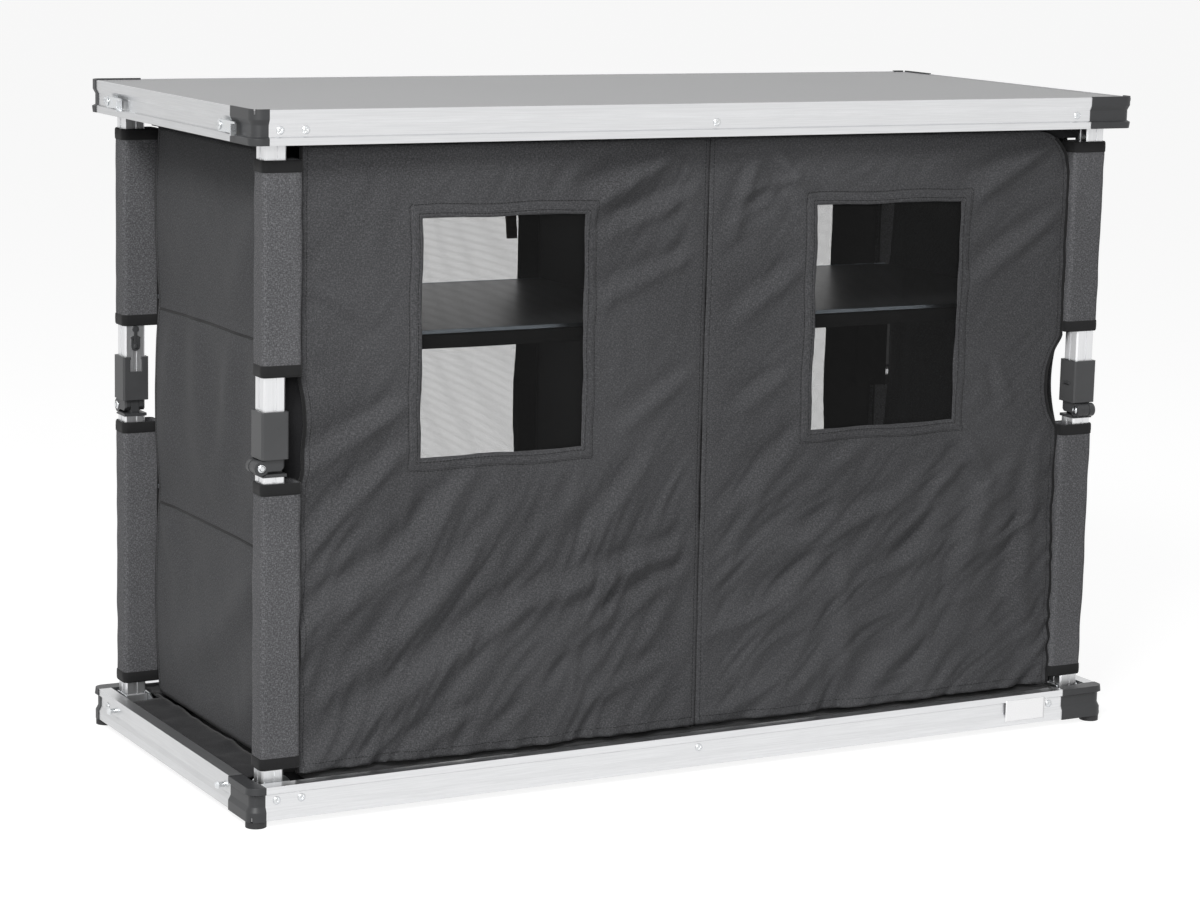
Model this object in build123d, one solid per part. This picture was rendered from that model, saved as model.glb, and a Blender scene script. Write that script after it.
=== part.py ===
from build123d import *
import os

os.makedirs("parts", exist_ok=True)

# Folding camping cupboard.
# Two equal case halves, each a ring of aluminium rails round a board, stand on four legs that fold
# at a knee. A cloth cabinet with two doors hangs between them. Folded, the halves close on each
# other like a suitcase and four hooks hold them shut.
# Millimetres, +Z up, origin on the floor under the middle, front towards -Y.

# Overall
case_width = 1180.0
case_depth = 510.0
stand_height = 800.0
closed_gap = 0.5

# Feet
foot_height = 7.0
foot_radius = 12.0

# Rail section: u runs inwards from the outer face, v from the board side to the open side
rail_height = 38.5
rail_width = 16.0
rail_wall = 1.6
groove_depth = 3.0
board_band = 10.4
groove_start = 16.2
groove_end = 28.9
open_band = 30.4
rail_return = 5.5
lip_width = 2.0

# Boards
board_thickness = 4.0
board_sunk = 0.8
board_clearance = 0.3

# Moulded corners
cap_proud = 1.0
corner_radius = 12.5
long_arm = 64.0
short_arm = 20.0
corner_web = 24.0
corner_slope = 12.0
tenon_clearance = 0.4
short_tenon = 50.0
long_tenon = 36.0

# Rivets and screws along the rails, from the case corners
fastener_height = 23.0
head_radius = 4.6
head_height = 2.0
head_sides = 12
head_taper = 35.0
rivet_offset = 34.0
side_rivet_offset = 44.0
screw_offset = 64.0
far_screw_offset = 84.0
middle_screw_shift = 10.0

# Hooks on the upper half and their catch pins on the lower half
hook_near_offset = 68.0
hook_far_offset = 88.0
hook_gap = 0.4
hook_thickness = 2.0
hook_half_height = 6.5
hook_tail = 7.0
hook_nose = 10.5
hook_nose_drop = 2.0
hook_tab = 5.0
hook_chamfer = 2.0
catch_radius = 3.0
catch_clearance = 0.5
catch_play = 0.6
catch_head_radius = 5.0
catch_head_height = 2.4
pivot_clearance = 0.06
bore_sides = 12

# Leg tubes
tube_size = 26.0
tube_wall = 1.6
tube_corner = 2.0
tube_groove_width = 4.0
tube_groove_depth = 0.9
leg_inset = 38.0
tube_end = 10.5

# Knee joint: its pin stands off the outer side of the tube
knee_offset = 15.0
knee_pin_radius = 3.0
knee_clearance = 0.06
pin_root = 1.0
ear_radius = 8.5
lug_radius = 8.0
fork_size = 25.6
fork_top = 19.0
fork_bottom = -4.0
fork_chamfer = 5.0
plug_size = 22.2
plug_length = 24.0
tongue_width = 10.0
tongue_side_gap = 0.3
tongue_top_gap = 1.5
tongue_top = 14.0
tongue_front = 12.6
tongue_back = 11.0
nose_radius = 28.0
flange_size = 28.4
flange_thickness = 3.5
flange_top = -7.0
ear_relief = 0.6
knee_head_radius = 4.7
knee_head_height = 2.2

# Locking collar
collar_clearance = 0.1
collar_wall = 3.2
collar_bottom = 9.5
collar_height = 53.0
notch_half_width = 7.6
notch_mouth_half_width = 6.7
notch_mouth_height = 3.0
notch_depth = 18.0
ridge_width = 11.0
ridge_height = 5.0
ridge_reach = 2.6
ridge_share = 0.45

# Park clip that holds the raised collar
clip_height = 75.5
clip_thickness = 2.4
clip_half_width = 5.5
clip_prong = 2.4
clip_prong_top = 13.0
clip_barb = 0.8
clip_barb_low = 4.0
clip_barb_tip = 2.0
clip_stem = 4.2
clip_head_radius = 4.2
clip_head_rise = 21.0
clip_rivet_radius = 3.0
clip_rivet_height = 1.2

# Brackets that carry the leg ends
bracket_pin_radius = 3.5
bracket_clearance = 0.06
bracket_gap = 0.3
bracket_wall = 2.0
bracket_back = 13.0
bracket_reach = 36.0
bracket_top_gap = 1.5
bracket_nose_radius = 20.0
bracket_heel = 4.0
pin_head = 1.2
pin_head_radius = 5.0

# Shoe round each leg end
shoe_wall = 1.0
shoe_front_wall = 1.8
shoe_back = 6.0
shoe_low = 7.5
shoe_high = 11.5

# Cloth
cloth = 1.2
panel_cloth = 2.4
cloth_gap = 0.3
sleeve_inner_reach = 31.0
sleeve_corner = 2.0
sleeve_top_drop = 58.0
sleeve_above_knee = 101.5
sleeve_below_knee = 18.5
lower_sleeve_bottom = 60.0
door_inset = 33.0
door_crown = 6.0
door_bottom = 50.0
door_top_drop = 43.0
door_gap = 1.2
door_corner = 55.0
door_corner_over = 0.5
window_width = 207.0
window_height = 272.0
window_top_drop = 126.0
window_shift = -9.0
net_columns = 4
net_rows = 5
net_strand = 3.0
net_thickness = 0.8
scallop_above_knee = 94.5
scallop_below_knee = 21.5
scallop_depth = 22.0
left_door_scallop_depth = 7.0
side_scallop_depth = 14.0
side_inset = 60.0
side_bulge = 5.0
side_rear_inset = 72.0
back_inset = 47.0
back_crown = 4.0
back_bottom = 50.0
back_hole_near = 28.0
back_hole_inset = 140.0
back_hole_bottom = 110.0
back_hole_drop = 110.0
skirt_depth = 48.0
tub_inset = 59.0
tub_rim_drop = 1.5
tub_leg_room = 19.0
tub_leg_reach = 39.0

# Shelves
shelf_thickness = 4.0
shelf_inset = 63.0
lower_shelf_height = 306.0
upper_shelf_drop = 260.0
shelf_middle_gap = 1.5

# Derived places
half_case = rail_height + cap_proud
base_z = foot_height
top_z = stand_height
knee_z = (base_z + top_z) / 2
pin_rise = half_case + closed_gap / 2 - knee_offset
low_pin_z = base_z + pin_rise
high_pin_z = top_z - pin_rise
board_inside = cap_proud + board_sunk + board_thickness
half_tube = tube_size / 2
latch_reach = 2 * (half_case - fastener_height) + closed_gap
upper_sleeve_top = stand_height - sleeve_top_drop
upper_sleeve_bottom = knee_z + sleeve_above_knee
lower_sleeve_top = knee_z - sleeve_below_knee
scallop_top = knee_z + scallop_above_knee
scallop_bottom = knee_z - scallop_below_knee
door_top = stand_height - door_top_drop
window_top = stand_height - window_top_drop
window_bottom = window_top - window_height
upper_shelf_height = stand_height - upper_shelf_drop
back_hole_top = stand_height - back_hole_drop
back_hole_far = case_width / 2 - back_hole_inset
door_front = case_depth / 2 - door_inset
back_plane = case_depth / 2 - back_inset
side_plane = case_width / 2 - side_inset
tub_half_depth = case_depth / 2 - tub_inset
shelf_half_depth = case_depth / 2 - shelf_inset
leg_names = ("front_left", "front_right", "back_right", "back_left")
side_names = ("front", "right", "back", "left")


def half_sizes(side):
    """Half length along a side and its distance from the middle."""
    if side % 2 == 0:
        return case_width / 2, case_depth / 2
    return case_depth / 2, case_width / 2


def turned(side, shape):
    return Rot(0, 0, 90 * side) * shape


def box_at(x0, x1, y0, y1, z0, z1):
    return Pos((x0 + x1) / 2, (y0 + y1) / 2, (z0 + z1) / 2) * Box(x1 - x0, y1 - y0, z1 - z0)


def rod_x(x0, x1, y, z, radius):
    return Pos((x0 + x1) / 2, y, z) * Rot(0, 90, 0) * Cylinder(radius, x1 - x0)


def rod_y(x, y0, y1, z, radius):
    return Pos(x, (y0 + y1) / 2, z) * Rot(90, 0, 0) * Cylinder(radius, y1 - y0)


def bore_y(x, y0, y1, z, radius):
    """A cutter with few flat sides, laid about a round pin of that radius."""
    section = RegularPolygon(radius, bore_sides, major_radius=False)
    return Pos(x, y1, z) * Rot(90, 0, 0) * extrude(section, amount=y1 - y0)


def upright_profile(points, y0, y1):
    """A profile of (x, z) points, extruded from y0 to y1."""
    face = Plane(origin=(0, y1, 0), x_dir=(1, 0, 0), z_dir=(0, -1, 0)) * Polygon(*points, align=None)
    return extrude(face, amount=y1 - y0, dir=(0, -1, 0))


def join(shapes):
    total = shapes[0]
    for shape in shapes[1:]:
        total = total + shape
    return total


def to_top(shape):
    """The upper half is the lower half turned over, mirrored about the knee plane."""
    return Pos(0, 0, base_z + top_z) * mirror(shape, about=Plane.XY)


def save(name, shape):
    if isinstance(shape, (list, tuple)):
        solids = [solid for item in shape for solid in item.solids()]
        shape = Compound(children=solids) if len(solids) > 1 else solids[0]
    elif len(shape.solids()) == 1:
        shape = shape.solids()[0]
    export_step(shape, os.path.join("parts", name + ".step"))


# Rails

def rail_bar(length):
    w = rail_wall
    g = groove_depth
    ledge = board_sunk + board_thickness
    section = Polygon(
        (0, 0), (0, board_band), (g, groove_start), (g, groove_end), (0, open_band),
        (0, rail_height), (rail_width, rail_height), (rail_width, rail_height - rail_return),
        (rail_width - w, rail_height - rail_return), (rail_width - w, rail_height - w),
        (w, rail_height - w), (w, open_band + w / 2), (g + w, groove_end + w / 2),
        (g + w, groove_start - w / 4), (w, board_band - w / 4), (w, ledge + w),
        (rail_width, ledge + w), (rail_width, ledge), (lip_width, ledge), (lip_width, 0),
        align=None)
    return extrude(Plane.YZ * section, amount=length, dir=(1, 0, 0))


def fastener_places(side):
    """Distances of the rivet and screws from the near and far corner of a side."""
    along = half_sizes(side)[0]
    if side % 2 == 0:
        return [-along + rivet_offset, -along + screw_offset, -middle_screw_shift,
                along - far_screw_offset]
    return [-along + side_rivet_offset]


def hook_places(side):
    along = half_sizes(side)[0]
    return [-along + hook_near_offset, along - hook_far_offset]


def bottom_rail(side):
    along, away = half_sizes(side)
    bar = rail_bar(2 * along - short_arm - long_arm)
    return turned(side, Pos(-along + short_arm, -away + cap_proud, base_z + cap_proud) * bar)


def bottom_fasteners():
    """Heads of the rivets and screws, seated on the rails' recessed faces."""
    pieces = []
    for side in range(4):
        z = base_z + fastener_height
        for x in fastener_places(side):
            head = Pos(x, recess_face(side), z) * Rot(90, 0, 0) * low_head(head_radius, head_height)
            pieces.append(turned(side, head))
    return pieces


def recess_face(side):
    """Where the rail's recessed face lies, before the side is turned into place."""
    return -half_sizes(side)[1] + cap_proud + groove_depth


def low_head(radius, height):
    """A low button head with few facets, flat side on the XY plane."""
    return extrude(RegularPolygon(radius, head_sides), amount=height, taper=head_taper)


def low_disc(radius, height):
    return extrude(RegularPolygon(radius, head_sides), amount=height)


def chamfered(width, depth, corner):
    outline = Rectangle(width, depth)
    return chamfer(outline.vertices(), corner)


# Moulded corners

def groove_cutter(reach_x, reach_y):
    """The rail's groove carried round the rounded corner."""
    g = groove_depth
    proud = cap_proud
    over = 1.0
    section = [(-over, board_band + proud - over / 2), (0, board_band + proud),
               (g, groove_start + proud), (g, groove_end + proud), (0, open_band + proud),
               (-over, open_band + proud + over / 2)]
    face_y = Plane.YZ * Polygon(*section, align=None)
    along_x = Pos(corner_radius, 0, 0) * extrude(face_y, amount=reach_x, dir=(1, 0, 0))
    face_x = Plane(origin=(0, 0, 0), x_dir=(1, 0, 0), z_dir=(0, -1, 0)) * Polygon(*section, align=None)
    along_y = Pos(0, corner_radius + reach_y, 0) * extrude(face_x, amount=reach_y, dir=(0, -1, 0))
    turned_face = Plane.XZ * Polygon(*[(u - corner_radius, v) for u, v in section], align=None)
    bend = Pos(corner_radius, corner_radius, 0) * revolve(turned_face, axis=Axis.Z, revolution_arc=90)
    return along_x + along_y + bend


def corner_block():
    """One corner at the origin: short arm along +X, long arm along +Y."""
    arm = rail_width + cap_proud
    outline = Polygon((0, 0), (short_arm, 0), (short_arm, corner_web), (arm, corner_web + corner_slope),
                      (arm, long_arm), (0, long_arm), align=None)
    block = extrude(outline, amount=half_case, dir=(0, 0, 1))
    outer_edge = block.edges().filter_by(Axis.Z).sort_by(lambda e: e.center().X + e.center().Y)[0]
    block = fillet(outer_edge, corner_radius)
    block = block - groove_cutter(short_arm, long_arm)
    lip = lip_width + cap_proud
    block = block - box_at(lip, case_width, lip, case_depth, -1, board_inside)
    low = cap_proud + board_sunk + board_thickness + rail_wall + tenon_clearance
    high = half_case - rail_wall - tenon_clearance
    near = cap_proud + groove_depth + rail_wall + tenon_clearance
    far = cap_proud + rail_width - rail_wall - tenon_clearance
    block = block + box_at(short_arm, short_arm + short_tenon, near, far, low, high)
    block = block + box_at(near, far, long_arm, long_arm + long_tenon, low, high)
    return block


def bottom_corner(side):
    along, away = half_sizes(side)
    return turned(side, Pos(-along, -away, base_z) * corner_block())


def foot(side):
    along, away = half_sizes(side)
    return turned(side, Pos(-along + corner_radius, -away + corner_radius, base_z / 2)
                  * Cylinder(foot_radius, foot_height))


def bottom_board():
    inset = cap_proud + lip_width + board_clearance
    low = base_z + cap_proud + board_sunk
    return box_at(-case_width / 2 + inset, case_width / 2 - inset, -case_depth / 2 + inset,
                  case_depth / 2 - inset, low, low + board_thickness)


# Catch pins and hooks

def catch_pins():
    pins = []
    for side in (1, 3):
        away = half_sizes(side)[1]
        z = base_z + fastener_height
        outer = -away - hook_gap - hook_thickness - catch_play
        for x in hook_places(side):
            shank = rod_y(x, outer, recess_face(side), z, catch_radius)
            head = Pos(x, outer, z) * Rot(90, 0, 0) * low_head(catch_head_radius, catch_head_height)
            pins.append(turned(side, shank + head))
    return pins


def hook(side, x):
    """A hook whose notch faces down at rest; swung down, the notch takes the catch pin."""
    away = half_sizes(side)[1]
    h = hook_half_height
    slot = catch_radius + catch_clearance
    nose = latch_reach + hook_nose
    outer = -away - hook_gap - hook_thickness
    inner = -away - hook_gap
    outline = [(0, h), (0, -h), (latch_reach + slot, -h), (latch_reach + slot, -h - hook_nose_drop),
               (nose, -h - hook_nose_drop), (nose, h - hook_chamfer), (nose - hook_chamfer, h)]
    blade = upright_profile(outline, outer, inner)
    blade = blade + rod_y(0, outer, inner, 0, hook_tail)
    blade = blade - rod_y(latch_reach, outer - 1, inner + 1, 0, slot)
    blade = blade - box_at(latch_reach - slot, latch_reach + slot, outer - 1, inner + 1,
                           -h - hook_nose_drop - 1, 0)
    blade = blade + box_at(nose - hook_thickness, nose, outer - hook_tab, inner,
                           -h - hook_nose_drop, h - hook_chamfer)
    blade = blade - bore_y(0, outer - 1, inner + 1, 0, catch_radius + pivot_clearance)
    return turned(side, Pos(x, 0, top_z - fastener_height) * blade)


def hook_pivots():
    """Shouldered screws on the upper rails that the hooks swing on."""
    pins = []
    for side in (1, 3):
        away = half_sizes(side)[1]
        z = top_z - fastener_height
        outer = -away - 2 * hook_gap - hook_thickness
        for x in hook_places(side):
            shank = rod_y(x, outer, -away, z, catch_radius)
            spacer = Pos(x, recess_face(side), z) * Rot(90, 0, 0) * low_disc(
                catch_head_radius, cap_proud + groove_depth)
            head = Pos(x, outer, z) * Rot(90, 0, 0) * low_head(catch_head_radius, head_height)
            pins.append(turned(side, shank + spacer + head))
    return pins


# Legs, in a frame at the leg's own axis: +X is the way that the knee folds, Z is true height

def leg_place(side, shape):
    along, away = half_sizes(side)
    return turned(side, Pos(-along + leg_inset, -away + leg_inset, 0) * shape)


def tube_bar(low, high):
    """Square tube with eased corners and a shallow groove down the middle of each face."""
    outer = extrude(chamfered(tube_size, tube_size, tube_corner), amount=high - low)
    inner_size = tube_size - 2 * tube_wall
    inner = extrude(Rectangle(inner_size, inner_size), amount=high - low)
    groove = box_at(-tube_groove_width / 2, tube_groove_width / 2, half_tube - tube_groove_depth,
                    half_tube + 1, 0, high - low)
    bar = outer - inner
    for quarter in range(4):
        bar = bar - turned(quarter, groove)
    return Pos(0, 0, low) * bar


def pin_hole(z, radius):
    return bore_y(0, -tube_size, tube_size, z, radius)


def shoe(pin_z):
    """A strap round the leg end: front web and two side walls."""
    front = half_tube + shoe_front_wall
    side = half_tube + shoe_wall
    low = pin_z - shoe_low
    high = pin_z + shoe_high
    strap = box_at(-shoe_back, front, -side, side, low, high)
    return strap - box_at(-tube_size, half_tube, -half_tube, half_tube, low - 1, high + 1)


def lower_tube(side):
    bar = tube_bar(low_pin_z - tube_end, knee_z + flange_top - flange_thickness)
    bar = bar + shoe(low_pin_z)
    return leg_place(side, bar - pin_hole(low_pin_z, bracket_pin_radius + bracket_clearance))


def upper_tube(side):
    bar = tube_bar(knee_z + fork_top, high_pin_z + tube_end)
    bar = bar + Pos(0, 0, 2 * high_pin_z) * mirror(shoe(high_pin_z), about=Plane.XY)
    return leg_place(side, bar - pin_hole(high_pin_z, bracket_pin_radius + bracket_clearance))


def knee_tongue():
    """Lower knee fitting: plug, flange, and a tongue with the pin lug; z = 0 at the pin."""
    flange_low = flange_top - flange_thickness
    half_tongue = tongue_width / 2
    half_flange = flange_size / 2
    half_plug = plug_size / 2
    plug = box_at(-half_plug, half_plug, -half_plug, half_plug, flange_low - plug_length, flange_low)
    flange = box_at(-half_flange, half_flange, -half_flange, half_flange, flange_low, flange_top)
    flange = flange - rod_y(-knee_offset, -tube_size, tube_size, 0, ear_radius + ear_relief)
    tongue = box_at(-tongue_back, tongue_front, -half_tongue, half_tongue, flange_top - 1, tongue_top)
    tongue = tongue & rod_y(-knee_offset, -half_tongue, half_tongue, 0, nose_radius)
    lug = rod_y(-knee_offset, -half_tongue, half_tongue, 0, lug_radius)
    fitting = join([plug, flange, tongue, lug])
    return fitting - bore_y(-knee_offset, -tube_size, tube_size, 0, knee_pin_radius + knee_clearance)


def knee_fork():
    """Upper knee fitting: plug, two cheeks with ears, and the pin riveted between them."""
    half_fork = fork_size / 2
    half_plug = plug_size / 2
    slot = tongue_width / 2 + tongue_side_gap
    profile = [(-half_fork, fork_bottom), (half_fork - fork_chamfer, fork_bottom),
               (half_fork, fork_bottom + fork_chamfer), (half_fork, fork_top), (-half_fork, fork_top)]
    body = upright_profile(profile, -half_fork, half_fork)
    body = body & extrude(chamfered(fork_size, fork_size, tube_corner), amount=tube_size, both=True)
    body = body + rod_y(-knee_offset, -half_fork, half_fork, 0, ear_radius)
    body = body - box_at(-tube_size, tube_size, -slot, slot, -tube_size, tongue_top + tongue_top_gap)
    plug = box_at(-half_plug, half_plug, -half_plug, half_plug, fork_top, fork_top + plug_length)
    pin = rod_y(-knee_offset, -slot - pin_root, slot + pin_root, 0, knee_pin_radius)
    head = low_head(knee_head_radius, knee_head_height)
    near = Pos(-knee_offset, -half_fork, 0) * Rot(90, 0, 0) * head
    far = Pos(-knee_offset, half_fork, 0) * Rot(-90, 0, 0) * head
    return join([body, plug, pin, near, far])


def park_clip():
    """Clip on the tube's inner face: rounded foot, two barbed prongs, a stem with a round head."""
    t = clip_thickness
    w = clip_half_width
    plane = Plane(origin=(half_tube, 0, clip_height), x_dir=(0, 1, 0), z_dir=(1, 0, 0))
    inner = w - clip_prong
    tip = w + clip_barb
    top = clip_prong_top
    prong = Polygon((inner, 0), (w, 0), (w, top - clip_barb_low), (tip, top - clip_barb_tip), (inner, top),
                    align=None)
    shape = RegularPolygon(w, head_sides) + prong + mirror(prong, about=Plane.YZ)
    shape = shape + Pos(0, clip_head_rise / 2, 0) * Rectangle(clip_stem, clip_head_rise)
    shape = shape + Pos(0, clip_head_rise, 0) * RegularPolygon(clip_head_radius, head_sides)
    body = extrude(plane * shape, amount=t, dir=(1, 0, 0))
    head = low_head(clip_rivet_radius, clip_rivet_height)
    return body + Pos(half_tube + t, 0, clip_height) * Rot(0, 90, 0) * head


def lower_knee(side):
    return leg_place(side, Pos(0, 0, knee_z) * knee_tongue())


def upper_knee(side):
    pieces = [knee_fork(), park_clip()]
    return [leg_place(side, Pos(0, 0, knee_z) * piece) for piece in pieces]


def collar(side):
    """Sliding sleeve with a notch in its top edge and a thumb ridge on the next face."""
    bore = tube_size + 2 * collar_clearance
    outer = bore + 2 * collar_wall
    half = outer / 2
    body = extrude(chamfered(outer, outer, tube_corner), amount=collar_height)
    body = body - extrude(chamfered(bore, bore, tube_corner - collar_clearance), amount=collar_height)
    low = collar_height - notch_depth
    mouth = collar_height - notch_mouth_height
    body = body - box_at(0, half + 1, -notch_half_width, notch_half_width, low, mouth)
    body = body - box_at(0, half + 1, -notch_mouth_half_width, notch_mouth_half_width, mouth - 1,
                         collar_height + 1)
    middle = ridge_share * collar_height
    ridge = Plane(origin=(-ridge_width / 2, 0, 0), x_dir=(0, 1, 0), z_dir=(1, 0, 0)) * Polygon(
        (half - 1, middle - ridge_height / 2), (half, middle - ridge_height / 2),
        (half + ridge_reach, middle), (half, middle + ridge_height / 2),
        (half - 1, middle + ridge_height / 2), align=None)
    body = body + extrude(ridge, amount=ridge_width, dir=(1, 0, 0))
    return leg_place(side, Pos(0, 0, knee_z + collar_bottom) * body)


def bottom_bracket(side):
    """Two cheeks on a base plate, with the pin that the leg turns on riveted between them."""
    inside = half_tube + shoe_wall + bracket_gap
    outside = inside + bracket_wall
    floor = base_z + board_inside
    top = base_z + half_case - bracket_top_gap
    plane = Plane(origin=(0, outside, 0), x_dir=(1, 0, 0), z_dir=(0, -1, 0))
    cheek_face = Pos((bracket_reach - bracket_back) / 2, (floor + top) / 2, 0) * Rectangle(
        bracket_reach + bracket_back, top - floor)
    upper_corners = cheek_face.vertices().group_by(Axis.Y)[-1].sort_by(Axis.X)
    cheek_face = fillet(upper_corners[1], bracket_nose_radius)
    heel = cheek_face.vertices().group_by(Axis.Y)[-1].sort_by(Axis.X)[0]
    cheek_face = chamfer(heel, bracket_heel)
    block = extrude(plane * cheek_face, amount=2 * outside, dir=(0, -1, 0))
    channel = box_at(-tube_size, 2 * bracket_reach, -inside, inside, floor + bracket_wall, top + 1)
    pin = rod_y(0, -inside - pin_root, inside + pin_root, low_pin_z, bracket_pin_radius)
    head = low_head(pin_head_radius, pin_head)
    near = Pos(0, -outside, low_pin_z) * Rot(90, 0, 0) * head
    far = Pos(0, outside, low_pin_z) * Rot(-90, 0, 0) * head
    return leg_place(side, join([block - channel, pin, near, far]))


# Cloth

def sleeve(side, low, high):
    """Loop of cloth round a leg half, wider towards the middle of the case."""
    snug = half_tube + cloth_gap + cloth
    outer_side = -1 if side in (0, 3) else 1
    centre = leg_centre(side)
    edge_out = centre[0] + outer_side * snug
    edge_in = centre[0] - outer_side * sleeve_inner_reach
    width = abs(edge_in - edge_out)
    loop = chamfered(width, 2 * snug, sleeve_corner)
    hollow = chamfered(width - 2 * cloth, 2 * snug - 2 * cloth, sleeve_corner - cloth / 2)
    ring = extrude(loop - hollow, amount=high - low)
    return Pos((edge_in + edge_out) / 2, centre[1], low) * ring


def leg_centre(side):
    x = case_width / 2 - leg_inset
    y = case_depth / 2 - leg_inset
    return ((-x, -y), (x, -y), (x, y), (-x, y))[side]


def bowed_panel(x0, x1, y_edge, crown, thickness, low, high):
    """Upright cloth that bows away from the middle between its two edges."""
    middle = (x0 + x1) / 2
    sign = 1 if y_edge > 0 else -1
    outer = ThreePointArc((x0, y_edge), (middle, y_edge + sign * crown), (x1, y_edge))
    shift = sign * thickness
    inner = ThreePointArc((x0, y_edge - shift), (middle, y_edge - shift + sign * crown), (x1, y_edge - shift))
    ends = [Line((x0, y_edge), (x0, y_edge - shift)), Line((x1, y_edge), (x1, y_edge - shift))]
    face = make_face([outer, inner] + ends)
    return Pos(0, 0, low) * extrude(face, amount=high - low, dir=(0, 0, 1))


def scallop(edge, y0, y1, depth):
    """Round cutter that takes a shallow bite out of a panel edge beside the knee."""
    half = (scallop_top - scallop_bottom) / 2
    radius = (half ** 2 + depth ** 2) / (2 * depth)
    sign = 1 if edge > 0 else -1
    return rod_y(edge + sign * (radius - depth), y0, y1, (scallop_top + scallop_bottom) / 2, radius)


def door(hand):
    """Cloth door with a netted window; hand is -1 for the left door, 1 for the right."""
    outer = hand * (case_width / 2 - leg_inset - sleeve_inner_reach - cloth_gap)
    inner = hand * door_gap / 2
    low, high = min(outer, inner), max(outer, inner)
    panel = bowed_panel(low, high, -door_front, door_crown, panel_cloth, door_bottom, door_top)
    middle = (outer + inner) / 2 + window_shift
    hole = extrude(Plane(origin=(middle, -door_front + case_depth / 4, (window_bottom + window_top) / 2),
                         x_dir=(1, 0, 0), z_dir=(0, -1, 0))
                   * Rectangle(window_width, window_top - window_bottom),
                   amount=case_depth / 2)
    panel = panel - hole
    depth = left_door_scallop_depth if hand < 0 else scallop_depth
    panel = panel - scallop(outer, -case_depth, 0, depth)
    if hand > 0:
        square = box_at(outer - door_corner, outer + 1, -case_depth, 0, door_top - door_corner, door_top + 1)
        round_off = rod_y(outer - door_corner, -case_depth, 0, door_top - door_corner,
                          door_corner + door_corner_over)
        panel = panel - (square - round_off)
    net_front = -door_front - door_crown + panel_cloth - net_thickness / 2
    net = box_at(middle - window_width / 2, middle + window_width / 2, net_front - net_thickness, net_front,
                 window_bottom, window_top)
    pitch_x = window_width / net_columns
    pitch_z = (window_top - window_bottom) / net_rows
    gaps = [Pos(middle + (column - (net_columns - 1) / 2) * pitch_x, -door_front,
                window_bottom + (row + 0.5) * pitch_z)
            * Box(pitch_x - net_strand, 8 * door_crown, pitch_z - net_strand)
            for column in range(net_columns) for row in range(net_rows)]
    return panel + (net - gaps)


def side_cloth(hand):
    """Side wall in three bays, each bulging a little between the shelf seams."""
    plane_x = side_plane
    levels = [door_bottom, lower_shelf_height, upper_shelf_height, top_z - board_inside - skirt_depth]
    chain = []
    back = []
    for low, high in zip(levels[:-1], levels[1:]):
        middle = (low + high) / 2
        chain.append(ThreePointArc((plane_x, low), (plane_x + side_bulge, middle), (plane_x, high)))
        back.append(ThreePointArc((plane_x - panel_cloth, low), (plane_x - panel_cloth + side_bulge, middle),
                                  (plane_x - panel_cloth, high)))
    ends = [Line((plane_x, levels[0]), (plane_x - panel_cloth, levels[0])),
            Line((plane_x, levels[-1]), (plane_x - panel_cloth, levels[-1]))]
    half = case_depth / 2 - leg_inset - half_tube - 2 * cloth - cloth_gap
    rear = case_depth / 2 - side_rear_inset
    face = Plane(origin=(0, rear, 0), x_dir=(1, 0, 0), z_dir=(0, -1, 0)) * make_face(chain + back + ends)
    wall = extrude(face, amount=half + rear, dir=(0, -1, 0))
    half_scallop = (scallop_top - scallop_bottom) / 2
    depth = side_scallop_depth
    radius = (half_scallop ** 2 + depth ** 2) / (2 * depth)
    wall = wall - rod_x(0, case_width, depth - half - radius, (scallop_top + scallop_bottom) / 2, radius)
    if hand < 0:
        wall = mirror(wall, about=Plane.YZ)
    return wall


def back_cloth():
    edge = case_width / 2 - leg_inset - sleeve_inner_reach - cloth_gap
    top = top_z - board_inside - skirt_depth
    wall = bowed_panel(-edge, edge, back_plane, back_crown, panel_cloth, back_bottom, top)
    width = back_hole_far - back_hole_near
    height = back_hole_top - back_hole_bottom
    for hand in (-1, 1):
        x = hand * (back_hole_near + back_hole_far) / 2
        z = (back_hole_top + back_hole_bottom) / 2
        plane = Plane(origin=(x, case_depth / 2, z), x_dir=(1, 0, 0), z_dir=(0, -1, 0))
        wall = wall - extrude(plane * Rectangle(width, height), amount=case_depth / 4)
        wall = wall - scallop(hand * edge, 0, case_depth, scallop_depth)
    return wall


def divider_cloth():
    back = back_plane - panel_cloth - cloth_gap
    front = -door_front + panel_cloth + cloth_gap
    low = base_z + half_case - tub_rim_drop + cloth_gap
    return box_at(-cloth, cloth, front, back, low, top_z - board_inside - skirt_depth)


def top_skirt():
    """Cloth ring that hangs from under the worktop, behind the rails."""
    high = top_z - board_inside - cloth_gap
    low = high - skirt_depth + cloth_gap
    x = side_plane
    front = door_front - panel_cloth - cloth_gap
    back = back_plane - panel_cloth - cloth_gap
    ring = box_at(-x, x, -front, back, low, high)
    ring = ring - box_at(-x + cloth, x - cloth, -front + cloth, back - cloth, low - 1, high + 1)
    for side in range(4):
        room = box_at(-leg_inset, tub_leg_reach, -leg_inset, tub_leg_room, low - 1, high + 1)
        ring = ring - leg_place(side, room)
    return ring


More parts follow.
